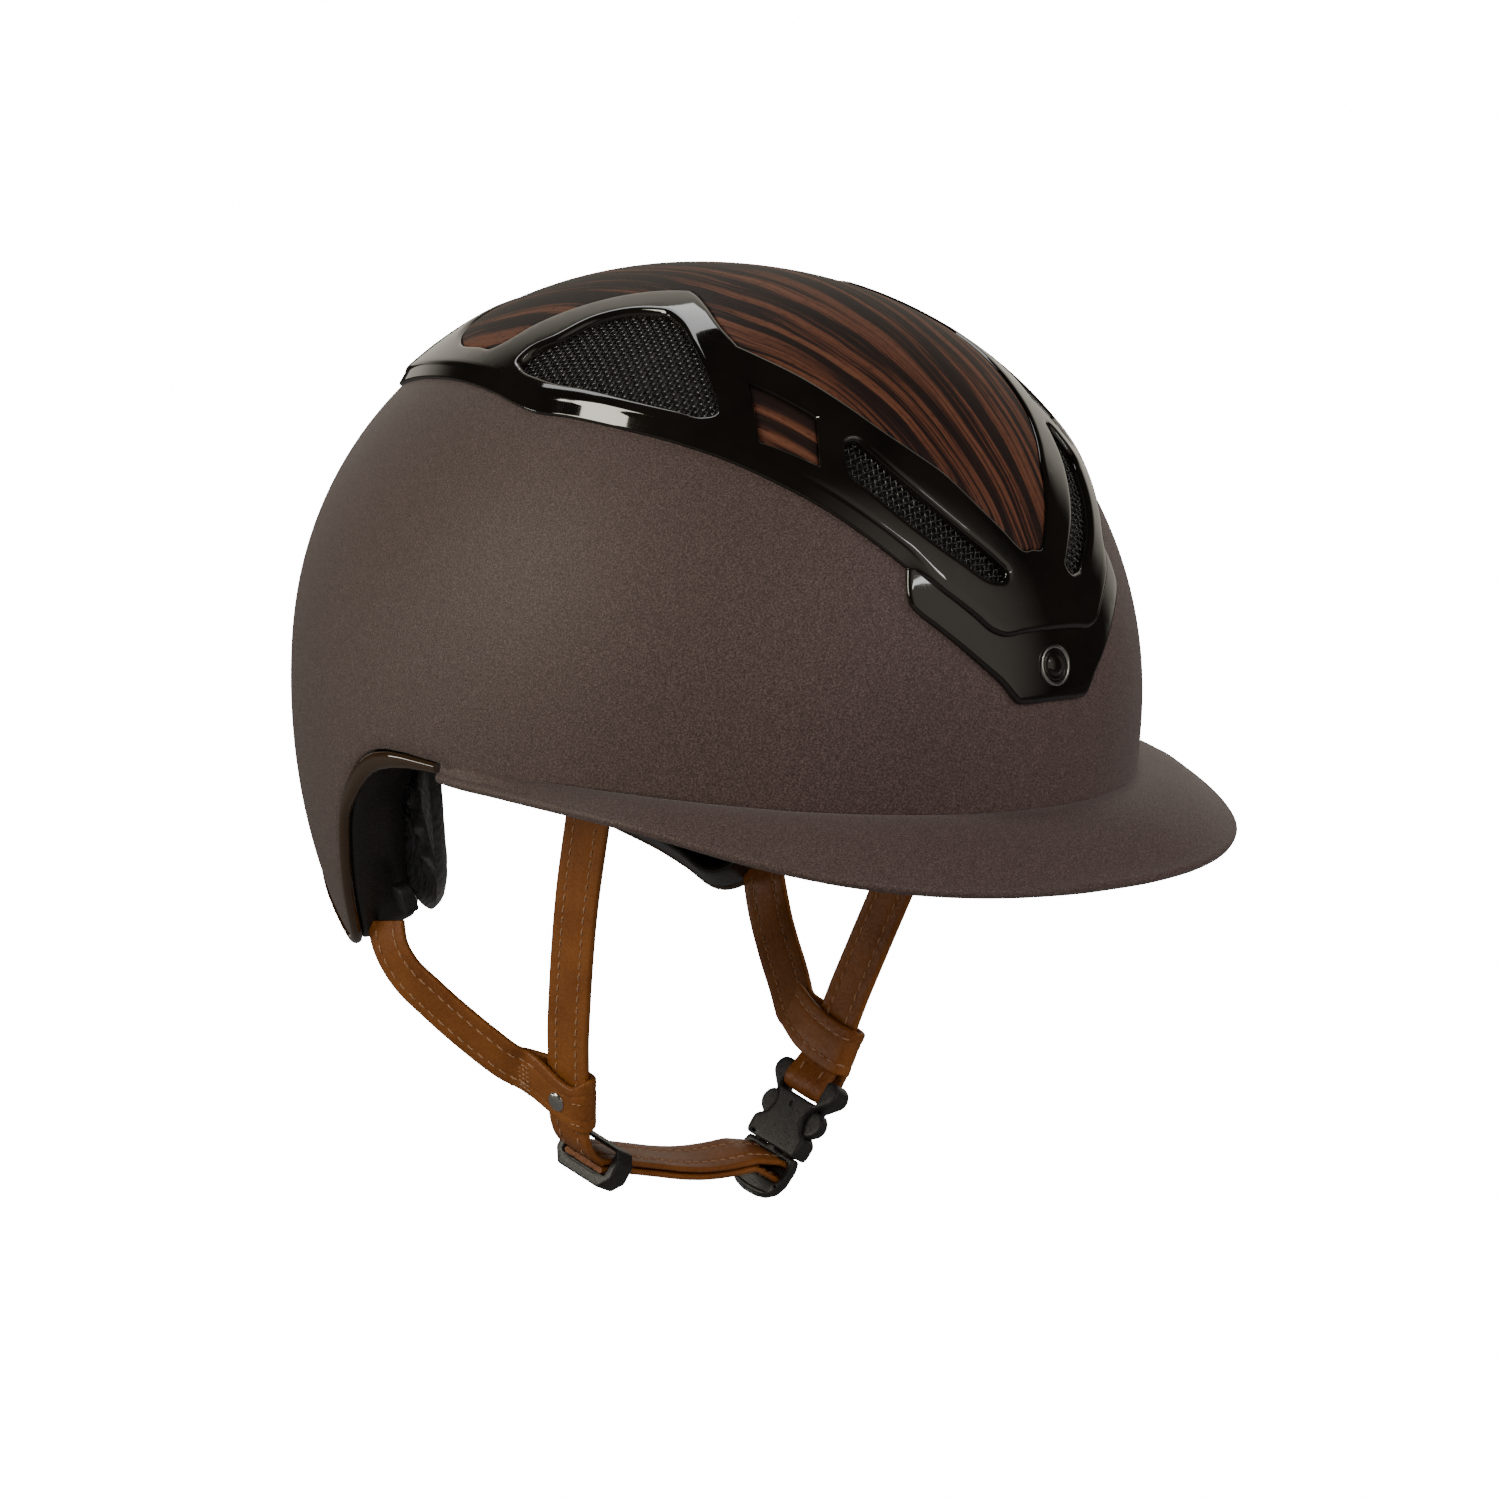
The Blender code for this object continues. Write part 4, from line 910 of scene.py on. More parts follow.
def make_vent_meshes():
    """Woven wire inserts: wires cross over and under each other inside each vent."""
    for (label, side), loop in VENTS.items():
        outline = inset(DOME, loop, -1.0)
        turns, gauge = WEAVES[label]
        build = Build()
        for over, turn in enumerate(turns):
            for places, at, offset in wire_runs(math.radians(-dict(SIDES)[side] * turn), outline):
                phase = np.pi * (at / WIRE_PITCH) + np.pi * (round(offset / WIRE_PITCH) % 2) + np.pi * over
                add_wire(build, DOME.at(places, WIRE_LIFT + WIRE_WAVE * np.sin(phase)), gauge)
        build.piece(f"{label}_vent_wire_{side}", WIRE, nodes=[f"{label}_vent_mesh_{side}"],
                    sharp=80)


def directions(path):
    return unit_rows(np.gradient(path, axis=0))


def swept(section, *frames):
    """Copies of a section of (across, out) points, one for each middle, across and out direction."""
    return [middle + section[:, :1] * across + section[:, 1:] * out for middle, across, out in zip(*frames)]


def add_wire(build, centre, radius):
    along = directions(centre)
    side = unit_rows(np.cross(along, DOME.normal(centre)))
    build.tube(swept(circle(5) * radius, centre, side, np.cross(side, along)))


def add_shade_under_vents():
    """Painted shade: dark sheets a little below the vents' wires, standing for the shade down inside the vents."""
    for (label, side), loop in VENTS.items():
        build = Build()
        # a dark fabric sheet that paints the shade inside the vent
        moulded(build, DOME, [(inset(DOME, loop, -1.2), [(0, -2.6), (1.0, -2.6)])], None, 1.6)
        build.piece(f"{label}_vent_shade_sheet_{side}", LINING)


# --------------------------------------------------------------------------------------- peak and edges

PEAK_ROOT_TOP = 1.6
PEAK_ROOT_BOTTOM = -5.0
# How deep the peak's root sits in the shell's wall
PEAK_ROOT_DEPTH = 1.4
PEAK_THICKNESS = 3.0


def peak_section(edge):
    """Closed section of the peak from the shell's wall out to the edge and back underneath."""
    heading = math.atan2(edge[0], -edge[1] * HALF_WIDTH / HALF_FRONT)
    root = np.array([math.sin(heading) * (HALF_WIDTH - PEAK_ROOT_DEPTH),
                     -math.cos(heading) * (HALF_FRONT - PEAK_ROOT_DEPTH), 0.0])
    level = np.array([edge[0] - root[0], edge[1] - root[1], 0.0])
    reach = np.linalg.norm(level)
    out = level / reach
    radius = PEAK_THICKNESS / 2
    bulge = min(2.0, reach * 0.08)
    drop = PEAK_ROOT_TOP - (edge[2] + radius)
    nose = max(0.6, reach - radius)

    def top(share):
        return PEAK_ROOT_TOP - drop * share ** 1.2 + bulge * math.sin(math.pi * share)

    points = [(nose * share, top(share) - 0.5 * (1 - min(1, share * reach / 2.4)) ** 2)
              for share in np.linspace(0, 1, 12)[:-1]]
    for i in range(9):
        turn = math.pi / 2 - math.pi * i / 8
        points.append((nose + radius * math.cos(turn), edge[2] + radius * math.sin(turn)))
    for share in np.linspace(1, 0, 9)[1:]:
        below = PEAK_ROOT_BOTTOM + (edge[2] - radius - PEAK_ROOT_BOTTOM) * share
        points.append((nose * share, min(below, top(share) - PEAK_THICKNESS * 0.85)))
    return np.array([root + out * away + (0, 0, height) for away, height in points])


def make_peak():
    right = smooth_span(PEAK_EDGE, 2.2)
    left = right[::-1] * (-1, 1, 1)
    edge = np.vstack([left[:-1], right])
    build = Build()
    build.tube([peak_section(place) for place in edge])
    build.piece("peak_skin", PAINT, nodes=["peak"], sharp=50)


def rim_sweep(name, section, finish, nodes, growth=lambda place: 1.0):
    """A strip along the lower edge, from the right ear round the back to the left.

    Section points are (down past the edge, out from the surface). growth stretches them downward at a place.
    """
    headings = np.concatenate([np.linspace(-90, -180, 400), np.linspace(180, 90, 400)[1:]])
    places = even(DOME.at(map_place(headings, rim_polars(headings))), 1.6)
    out = DOME.normal(places)
    down = unit_rows(np.cross(out, directions(places)))
    if down[len(down) // 2, 2] > 0:
        down = -down
    build = Build()
    build.tube(swept(np.asarray(section, float), places, [d * growth(p) for d, p in zip(down, places)], out))
    build.piece(name, finish, nodes=nodes, sharp=60)


# Fore-aft and vertical place of the top of the arch over the ear
EAR_ARCH = (31.0, -3.0)


def make_rim_trims():
    roll = [(0.35, 0.30), (0.6, 0.62), (1.1, 0.74), (1.8, 0.66), (2.5, 0.32), (3.0, -0.3), (3.15, -1.1), (2.9, -1.9),
            (2.3, -2.4), (1.4, -2.5), (0.5, -2.3), (0.35, -1.0)]

    def fuller_over_ear(place):
        away = math.hypot(place[1] - EAR_ARCH[0], place[2] - EAR_ARCH[1])
        return 1.0 + 0.95 * math.exp(-(away / 22.0) ** 2)

    rim_sweep("ear_edge_roll", roll, BRONZE, ["ear_edge_trim"], fuller_over_ear)
    flange = [(0.8, -2.7), (1.5, -2.75), (2.5, -3.3), (2.8, -4.5), (2.75, -8), (2.75, -14), (2.7, -18), (2.4, -19),
              (1.6, -19.3), (0.8, -18.8), (0.7, -14), (0.7, -8)]
    rim_sweep("inner_rim_flange", flange, RIM_PLASTIC, ["inner_rim"])


# -------------------------------------------------------------------------------------- liner and pads

def make_liner():
    """Black bead-foam liner: its inside face, down to the rolled lower edge."""
    headings = np.arange(-180, 180, 2.0)
    rim = anticlockwise(map_place(headings, rim_polars(headings, 3.5, 3.5)))
    build = Build()
    moulded(build, DOME, [(rim, [(0, -17.5), (0.6, -18.4), (1.8, -18.8)])], -3.4, 3.0, flip=True)
    build.piece("foam_liner", FOAM, nodes=["impact_liner"], sharp=60)


PAD_LIFT = -20.4
# Outline of the nape cushion behind an ear, (heading, polar angle)
NAPE_CUSHION = ((110, 106), (110.5, 98), (114, 92.5), (124, 91), (138, 93), (150, 97), (153, 103), (151.5, 110),
                (147.5, 117), (142, 123), (135, 127.8), (127, 130.5), (119, 129.5), (113.8, 124.5), (110.8, 115.5))


def puffed(name, outline, thickness, nodes, seams=(), lift=PAD_LIFT):
    """A comfort pad on the liner's inside: a soft-edged cushion with sewn channels."""
    loop = anticlockwise(smooth_loop(outline, 1.2))
    build = Build()
    edge = [(thickness * 1.3 * (1 - math.cos(turn)), lift - thickness * (0.12 + 0.78 * math.sin(turn)))
            for turn in (math.pi / 2 * i / 6 for i in range(7))]

    def sag(places):
        depth = np.zeros(len(places))
        for line in seams:
            depth = np.maximum(depth, np.exp(-(nearest_gap(places, [smooth_span(line, 0.8)]) / 0.9) ** 2))
        wave = 0.25 * np.sin(places[:, 0] * 0.9) * np.sin(places[:, 1] * 0.8)
        return depth * thickness * 0.55 + wave * 0.4

    moulded(build, DOME, [(loop, edge)], lift + 0.1, 2.0, relief=sag, flip=True)
    made = build.piece(name, LINING, nodes=nodes, sharp=80)
    return made


def band_outline(headings, polars):
    """Rounded band on the angle map between two headings and two polar angles."""
    bulge = (headings[1] - headings[0]) * 0.02
    corners = [(h, polars[0]) for h in np.linspace(*headings, 7)]
    corners += [(headings[1] + bulge, p) for p in np.linspace(*polars, 4)[1:-1]]
    corners += [(h, polars[1]) for h in np.linspace(*headings[::-1], 7)]
    corners += [(headings[0] - bulge, p) for p in np.linspace(*polars[::-1], 4)[1:-1]]
    return map_places(corners)


def map_places(pairs):
    return [tuple(map_place(*pair)) for pair in pairs]


def make_pads():
    crown = [(26 * math.cos(t), 35 * math.sin(t) + 2) for t in np.linspace(0, 2 * np.pi, 16, endpoint=False)]
    across = [[(-26, v), (26, v)] for v in (-12, 2, 16)]
    puffed("crown_cushion", crown, 4.6, ["crown_pad"], across)
    seams = [map_places([(h, 70), (h, 93)]) for h in (-38, -19, 0, 19, 38)]
    puffed("brow_cushion", band_outline((-56, 56), (69, 94)), 4.6, ["brow_pad"], seams)
    for side, sign in SIDES:
        puffed(f"side_cushion_{side}", band_outline((sign * 81, sign * 107), (67, 88)), 4.4, [f"side_pad_{side}"])
        outline = map_places([(sign * h, p) for h, p in NAPE_CUSHION])
        seams = [map_places([(sign * h, 94), (sign * h, end)]) for h, end in ((126, 125), (140, 116))]
        puffed(f"nape_cushion_{side}", outline, 7.0, [f"nape_pad_{side}"], seams, PAD_LIFT - 1.0)


# --------------------------------------------------------------------------------------------- harness

SEAM_OFFSETS = (-4.0, 4.0)
SEAM_GROOVE = 0.22


def strap_profile(width, thickness, groove=SEAM_GROOVE):
    """Closed section (across, out) of a strap: round edges and a sunken stitch line near each edge."""
    half, deep = width / 2, thickness / 2
    flat = np.array([-6.9, -5.6, -4.75, -4.35, -4.0, -3.65, -3.2, -1.5, 0, 1.5, 3.2, 3.65, 4.0, 4.35, 4.75, 5.6, 6.9])
    flat = flat * (width / STRAP_WIDTH)
    dip = groove * np.exp(-((np.abs(flat) - SEAM_OFFSETS[1] * width / STRAP_WIDTH) / 0.42) ** 2)
    crown = 0.10 * (1 - (flat / half) ** 2)
    top = np.stack([flat, deep + crown - 0.10 - dip], 1)
    turn = np.radians([65, 40, 15, -15, -40, -65])
    edge = np.stack([half - deep * 0.75 + deep * 0.75 * np.cos(turn), (deep - 0.04) * np.sin(turn)], 1)
    return np.vstack([top, edge, (top * (1, -1))[::-1], edge[::-1] * (-1, 1)])


# How far along half a stitch each of its rings lies, and the ring's girth
STITCH_RINGS = ((-1.0, 0.45), (-0.72, 0.85), (-0.3, 1.0), (0.3, 1.0), (0.72, 0.85), (1.0, 0.45))
STITCH_RISE = 0.16
STITCH_SINK = 0.06
STITCH_SLANT = 0.07
# How far below a strap's face its seams lie
STITCH_DEPTH = 0.12


def add_stitch(build, centre, along, side, out, length=2.6, radius=0.27):
    """One thread stitch: a short rounded bead that dips in at both ends."""
    ring = circle(6)
    sections = []
    for t, girth in STITCH_RINGS:
        middle = centre + along * (t * length / 2) + out * (STITCH_RISE * (1 - t * t) - STITCH_SINK)
        sections.append(middle + radius * girth * (ring[:, :1] * side + ring[:, 1:] * out))
    build.tube(sections)


def stitch_row(build, frames, offset, lift, start, end):
    """Stitches in a row along a strap, offset across it and lifted to its face.

    frames holds the strap's path and its directions along, across and out.
    """
    marks = distances(frames[0])
    for at in np.arange(start, marks[-1] - end, STITCH_PITCH):
        place, a, s, o = (read_off(at, marks, f) for f in frames)
        add_stitch(build, place + s * offset + o * lift, unit(a + s * STITCH_SLANT), unit(s - a * STITCH_SLANT),
                   o * np.sign(lift))


def facing(path, outward):
    return unit_rows(np.cross(directions(path), np.broadcast_to(outward, path.shape)))


def mirror_x(points):
    return np.asarray(points, float) * (-1, 1, 1)


def chin_point(across, up):
    return BAR_CENTRE + PULL * CHIN_ORIGIN + X_AXIS * across + CHIN_RISE * up


def finish_strap(name, build, stitches, nodes, blend=None):
    """Places a strap and its stitching on the helmet, or bakes their transforms in when a blend is given."""
    strap = build.mesh(name, LEATHER, 70)
    for made in (strap, stitches.mesh(f"{name}_stitches", THREAD, 80)):
        if blend:
            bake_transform(made)
        else:
            settle(made)
    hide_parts(*nodes)


def make_front_straps():
    shared = smooth_span([*FRONT_STRAP_TOP[:-1], tuple(STRAIGHT_TOP)], 2.0)
    left = np.vstack([shared, smooth_span([STRAIGHT_TOP, STRAIGHT_END], 2.0)[1:]])
    turn = np.linspace(0, np.pi, 13)[:, None]
    wrap = BAR_CENTRE + (INWARD * np.cos(turn) + PULL * np.sin(turn)) * 3.3
    tail = np.stack([BAR_CENTRE - PULL * 4.5 - INWARD * 2.6, BAR_CENTRE - PULL * 8.6 - INWARD * 2.3])
    path = np.vstack([left, [BAR_CENTRE - PULL * 2.5 + INWARD * 2.7], wrap, tail])
    widths = np.vstack([facing(left, OUTWARD), np.tile(ACROSS, (len(path) - len(left), 1))])
    stitched_strap("front_strap_left_leather", relax(path, 2), relax(widths, 2), "front_strap_left", STRAP_THICKNESS,
                   3, 22)

    right = np.vstack([mirror_x(shared), smooth_span([mirror_x(STRAIGHT_TOP), RIGHT_STRAIGHT_END], 2.0)[1:]])
    turning = [chin_point(*place) for place in ((-82.4, 20.6), (-79.6, 17.9), (-75.9, 15.7))]
    bend = smooth_span([RIGHT_STRAIGHT_END, *turning], 1.2)[1:]
    path = np.vstack([right, bend])
    widths = np.vstack([facing(right, mirror_x(OUTWARD)), np.tile(-ACROSS, (len(bend), 1))])
    stitched_strap("front_strap_right_leather", relax(path, 2), relax(widths, 3), "front_strap_right",
                   STRAP_THICKNESS, 3, 5)


def relax(values, rounds):
    """Rows of values smoothed along their order, with both ends kept."""
    values = np.array(values, float)
    for _ in range(rounds):
        values[1:-1] = values[1:-1] * 0.5 + (values[:-2] + values[2:]) * 0.25
    return values


def stitched_strap(name, path, widths, node, thickness, start, end, blend=None):
    """A strap along a path, sewn on both faces from start to end millimetres in from its ends.

    widths holds the direction across it at each point.
    """
    build, seam = Build(), Build()
    along = directions(path)
    side = unit_rows(widths - along * np.sum(widths * along, axis=1)[:, None])
    out = np.cross(side, along)
    build.tube(swept(strap_profile(STRAP_WIDTH, thickness), path, side, out))
    for offset in SEAM_OFFSETS:
        for face in (1, -1):
            stitch_row(seam, (path, along, side, out), offset, face * (thickness / 2 - STITCH_DEPTH), start, end)
    finish_strap(name, build, seam, [node], blend)


REAR_STRAP = ((76.2, 52.5, -58), (75.8, 50.6, -65), (74.0, 46.6, -71.5), (69.6, 38, -79.2), (63.6, 26.5, -88),
              (58.6, 18.3, -94.0), (54.6, 13.2, -98.0))
LEFT_REAR_STRAP = ((76.2, 52.5, -58), (75.6, 50.2, -64.5), (73.6, 45.8, -70.5), (68.4, 36.5, -78), (62.0, 25, -85.4),
                   (57.0, 17.0, -90.4), (54.4, 12.6, -93.0))


# -------------------------------------------------------------------------------------- chin and buckle

def make_chin_strap():
    """The chin strap: an upper layer, a turn round the ladder bar and a lower layer back to the slider."""
    centre = smooth_span(CHIN_LINE, 1.5)
    along = directions(centre)
    normals = np.stack([-along[:, 1], along[:, 0]], 1)
    apart = (CHIN_STRAP_THICKNESS + CHIN_LAYER_GAP) / 2
    pull = unit([PULL[0], PULL @ CHIN_RISE])
    inward = np.array([pull[1], -pull[0]])
    turn = np.linspace(0, np.pi, 13)[:, None]
    loop = (-pull * np.cos(turn) - inward * np.sin(turn)) * 2.6 + LADDER_PLACE
    ends = np.stack([-pull * 2.6 + inward * 3.0, pull * 2.6 + inward * 3.0]) + LADDER_PLACE
    line = np.vstack([centre + normals * apart, ends[:1], loop, ends[1:],
                      (centre - normals * apart)[::-1]])
    line = relax(even(line, 0.9), 2)
    path = chin_point(line[:, :1], line[:, 1:])
    bend = (ROOT, "tongue", chin_point(-62, 9) * MM, chin_point(-14, 4) * MM)
    stitched_strap("chin_strap_leather", path, np.tile(ACROSS, (len(path), 1)), "chin_strap", CHIN_STRAP_THICKNESS,
                   14, 14, bend)


RIGHT_LOOP = Plane((-51.33, -1.04, -101.32), (0.051, -0.980, -0.191), (0.276, 0.198, -0.941), (-0.960, 0.004, -0.281))
LEFT_KEEPER = Plane((54.2, -3.225, -92.8), (-0.043, -0.986, -0.160), (-0.247, 0.166, -0.955), (-0.968, 0.001, 0.251))

# Edges of the rear straps' sewn ends, (forward, down, out of the loop's middle plane), round the front strap
RIGHT_LOOP_UPPER = ((-15, -10.3, 2.5), (-10.2, -9.6, 2.5), (-5.9, -8.1, 2.5), (-0.7, -6.1, 2.5), (4.7, -5.9, 2.5),
                    (7.6, -8.6, 2.4), (9.0, -9.7, 1.5), (9.5, -9.8, 0.0), (9.0, -9.6, -1.5), (7.6, -9.3, -2.4),
                    (0, -8.9, -2.5), (-8.5, -8.6, -2.3), (-13, -8.9, -0.6), (-17, -9.0, 0.8), (-21.3, -8.2, 2.6))
RIGHT_LOOP_LOWER = ((-15.5, 4.3, 2.4), (-11.6, 4.7, 2.5), (-6.2, 6.1, 2.5), (0.2, 7.6, 2.5), (5.2, 8.2, 2.5),
                    (7.3, 8.6, 2.4), (8.8, 8.3, 1.5), (9.4, 7.0, 0.0), (8.8, 6.8, -1.5), (7.4, 7.0, -2.4),
                    (0, 7.4, -2.5), (-8.5, 5.6, -2.3), (-13, 4.8, -0.6), (-17, 4.6, 0.8), (-21.0, 4.6, 2.6))
LEFT_KEEPER_UPPER = ((-14.5, -5.4, -1.2), (-8, -4.6, -2.4), (0, -3.0, -2.5), (6.5, -2.0, -2.5), (9.0, -1.8, -2.3),
                     (10.3, -1.6, -1.5), (10.8, -1.5, 0.0), (10.3, -1.5, 1.5), (9.0, -1.6, 2.3), (6.5, -1.5, 2.5),
                     (-0.3, -2.1, 2.5), (-6.8, -3.2, 2.5), (-10.5, -4.1, 2.2), (-14.0, -5.0, 1.4), (-18.7, -6.2, 0.4))
LEFT_KEEPER_LOWER = ((-13.5, 9.4, -1.2), (-8, 10.8, -2.4), (0, 12.2, -2.5), (6.2, 12.8, -2.5), (8.6, 12.7, -2.3),
                     (10.0, 12.5, -1.5), (10.5, 12.4, 0.0), (10.0, 12.4, 1.5), (8.6, 12.6, 2.3), (6.2, 12.8, 2.5),
                     (-0.3, 12.3, 2.5), (-6.8, 11.4, 2.5), (-10.5, 10.6, 2.2), (-14.0, 9.6, 1.4), (-18.6, 8.0, 0.4))


# Points of a rear strap's route that its sewn end takes the place of, and those that lead smoothly into it
ROUTE_GIVEN_UP = 4
ROUTE_JOINED = 6
# Spans of the joined and sewn stretch, its thickness and the depth of its stitch lines
SEWN_SPANS = 46
SEWN_THICKNESS = 2.0
SEWN_GROOVE = 0.16
SEWN_SEAM_LIFT = 0.90
# Points of the route that go into a rear strap's blend as its two ends
BEND_START = 4
BEND_END = -8


def make_rear_strap(side_name, route, outward, place, sewn_edges, rows, loop_node, body):
    """A rear strap that folds round the front strap and is sewn back on itself.

    rows gives where each double row of stitches starts and ends, as shares of the strap's length.
    """
    forward = facing(route, outward)
    edges = [route + forward * STRAP_WIDTH / 2, route - forward * STRAP_WIDTH / 2]
    if np.mean(edges[0][:, 2]) < np.mean(edges[1][:, 2]):
        edges.reverse()
    runs = []
    for edge, sewn in zip(edges, sewn_edges):
        kept = edge[:-ROUTE_GIVEN_UP]
        sewn = place.at([p[:2] for p in sewn], [p[2] for p in sewn])
        joined = smooth_span(np.vstack([kept[-ROUTE_JOINED:], sewn]), 0.25)
        joined = read_off(np.linspace(0, 1, SEWN_SPANS + 1), np.linspace(0, 1, len(joined)), joined)
        runs.append(relax(np.vstack([kept[:-ROUTE_JOINED], joined]), 1))
    uppers, lowers = runs
    width = np.linalg.norm(lowers - uppers, axis=1)
    side = (lowers - uppers) / width[:, None]
    path = (uppers + lowers) / 2
    along = directions(path)
    out = unit_rows(np.cross(along, side))
    build, seam = Build(), Build()
    build.tube([swept(strap_profile(float(w), SEWN_THICKNESS, SEWN_GROOVE), [p], [s], [o])[0]
                for w, p, s, o in zip(width, path, side, out)])
    total = distances(path)[-1]
    for start, end in rows:
        for offset in SEAM_OFFSETS:
            for face in (1, -1):
                stitch_row(seam, (path, along, side, out), offset, face * SEWN_SEAM_LIFT, start * total,
                           total * (1 - end))
    if side_name == "right":
        sew_right_loop(seam)
    finish_strap(f"rear_strap_{side_name}_leather", build, seam, [f"rear_strap_{side_name}", loop_node],
                 (ROOT, body, route[BEND_START] * MM, route[BEND_END] * MM))


def stitch_line(seam, plane, start, end, lift, pitch=1.9, length=1.5):
    """A straight line of fine stitches over a plane."""
    way = np.subtract(end, start)
    reach = np.linalg.norm(way)
    count = max(1, round(reach / pitch))
    along = unit(plane.at([end])[0] - plane.at([start])[0])
    out = plane.axes[2]
    for k in range(count):
        middle = plane.at([start + way * ((k + 0.5) / count)], lift)[0]
        add_stitch(seam, middle, along, np.cross(out, along), out, min(length, reach / count * 0.85), 0.22)


def sew_right_loop(seam):
    """Short stitch lines on the right loop: two beside the rivet and a bar tack where it is sewn back."""
    stitch_line(seam, RIGHT_LOOP, (4.4, -1.0), (8.6, -2.2), 3.45)
    stitch_line(seam, RIGHT_LOOP, (4.0, 5.9), (8.2, 5.0), 3.45)
    for k in range(7):
        top = -5.6 + k * 1.45
        stitch_line(seam, RIGHT_LOOP, (-17.3 + k * 0.12, top), (-12.6 + k * 0.1, top + 0.75), 3.55, 1.6, 1.3)


def make_rear_straps():
    make_rear_strap("right", smooth_span(mirror_x(REAR_STRAP), 1.8), mirror_x(OUTWARD), RIGHT_LOOP,
                    (RIGHT_LOOP_UPPER, RIGHT_LOOP_LOWER), [(0.03, 0.53)], "strap_loop_right", "loop_right")
    make_rear_strap("left", smooth_span(LEFT_REAR_STRAP, 1.8), OUTWARD, LEFT_KEEPER,
                    (LEFT_KEEPER_UPPER, LEFT_KEEPER_LOWER), [(0.03, 0.70), (0.76, 0.985)], "strap_keeper_left",
                    "keeper_left")


RIVET_PLACE = (-1.5, 1.0)
RIVET_LIFT = 3.35


def make_rivet():
    """Domed nickel cap through the right loop, with its flat base on the inside."""
    across, _, out = RIGHT_LOOP.axes
    cap, back = (Plane(RIGHT_LOOP.at([RIVET_PLACE], face * RIVET_LIFT)[0], across, np.cross(out * face, across),
                       out * face) for face in (1, -1))
    dome = [(2.95, 0.0), (3.0, 0.25), (2.9, 0.5), (2.5, 0.78), (1.7, 0.98), (0.8, 1.06), (0.0, 1.08)]
    revolve("rivet_cap_domed", cap, dome, STEEL, ["loop_rivet_cap"], "loop_right")
    flat = [(2.6, 0.0), (2.6, 0.3), (2.4, 0.5), (1.2, 0.5), (1.0, 0.25), (0.0, 0.2)]
    revolve("rivet_base_flat", back, flat, STEEL, ["loop_rivet_base"], "loop_right")


def arc(centre, radius, start, end, steps):
    turn = np.radians(np.linspace(start, end, steps + 1))
    return [(centre[0] + radius * math.cos(t), centre[1] + radius * math.sin(t)) for t in turn]


def eased(corners, radius):
    """A closed polygon with its corners cut to short arcs."""
    corners = np.asarray(corners, float)
    found = []
    for i, here in enumerate(corners):
        back, ahead = corners[i - 1] - here, corners[(i + 1) % len(corners)] - here
        short = min(radius, np.linalg.norm(back) * 0.45, np.linalg.norm(ahead) * 0.45)
        a, b = here + unit(back) * short, here + unit(ahead) * short
        for t in (0, 0.25, 0.5, 0.75, 1.0):
            found.append((1 - t) ** 2 * a + 2 * t * (1 - t) * here + t * t * b)
    found = np.array(found)
    keep = np.linalg.norm(found - np.roll(found, 1, 0), axis=1) > 0.05
    return anticlockwise(even(np.vstack([found[keep], found[keep][:1]]), 0.45)[:-1])


CUT_SHARP = math.radians(40)


def cut(target, *cutters):
    """Takes cutter objects out of a mesh object and removes them."""
    for cutter in cutters:
        made = target.modifiers.new("cut", "BOOLEAN")
        made.object = cutter
        made.solver = "EXACT"
    bpy.context.view_layer.update()
    shape = bpy.data.meshes.new_from_object(target.evaluated_get(bpy.context.evaluated_depsgraph_get()))
    target.modifiers.clear()
    target.data = shape
    shape.shade_smooth()
    shape.set_sharp_from_angle(angle=CUT_SHARP)
    for cutter in cutters:
        bpy.data.objects.remove(cutter)
    return target


BUCKLE = Plane(BAR_CENTRE, -ACROSS, PULL, INWARD)


def block(outline, low, high):
    """A plain prism between two heights over the buckle's plane, used for cutting."""
    loop = anticlockwise(np.asarray(outline, float))
    build = Build()
    build.tube([BUCKLE.at(loop, low), BUCKLE.at(loop, high)])
    return build.mesh("cutter", PLASTIC, 30)


def box_outline(x0, x1, y0, y1):
    return [(x0, y0), (x1, y0), (x1, y1), (x0, y1)]


def both_sides(right_side):
    return list(right_side) + [(-x, y) for x, y in reversed(list(right_side))]


# Half widths of the buckle socket's mouth and of the windows beside its strap bar
MOUTH_HALF = 9.35
BAR_HALF = 7.8


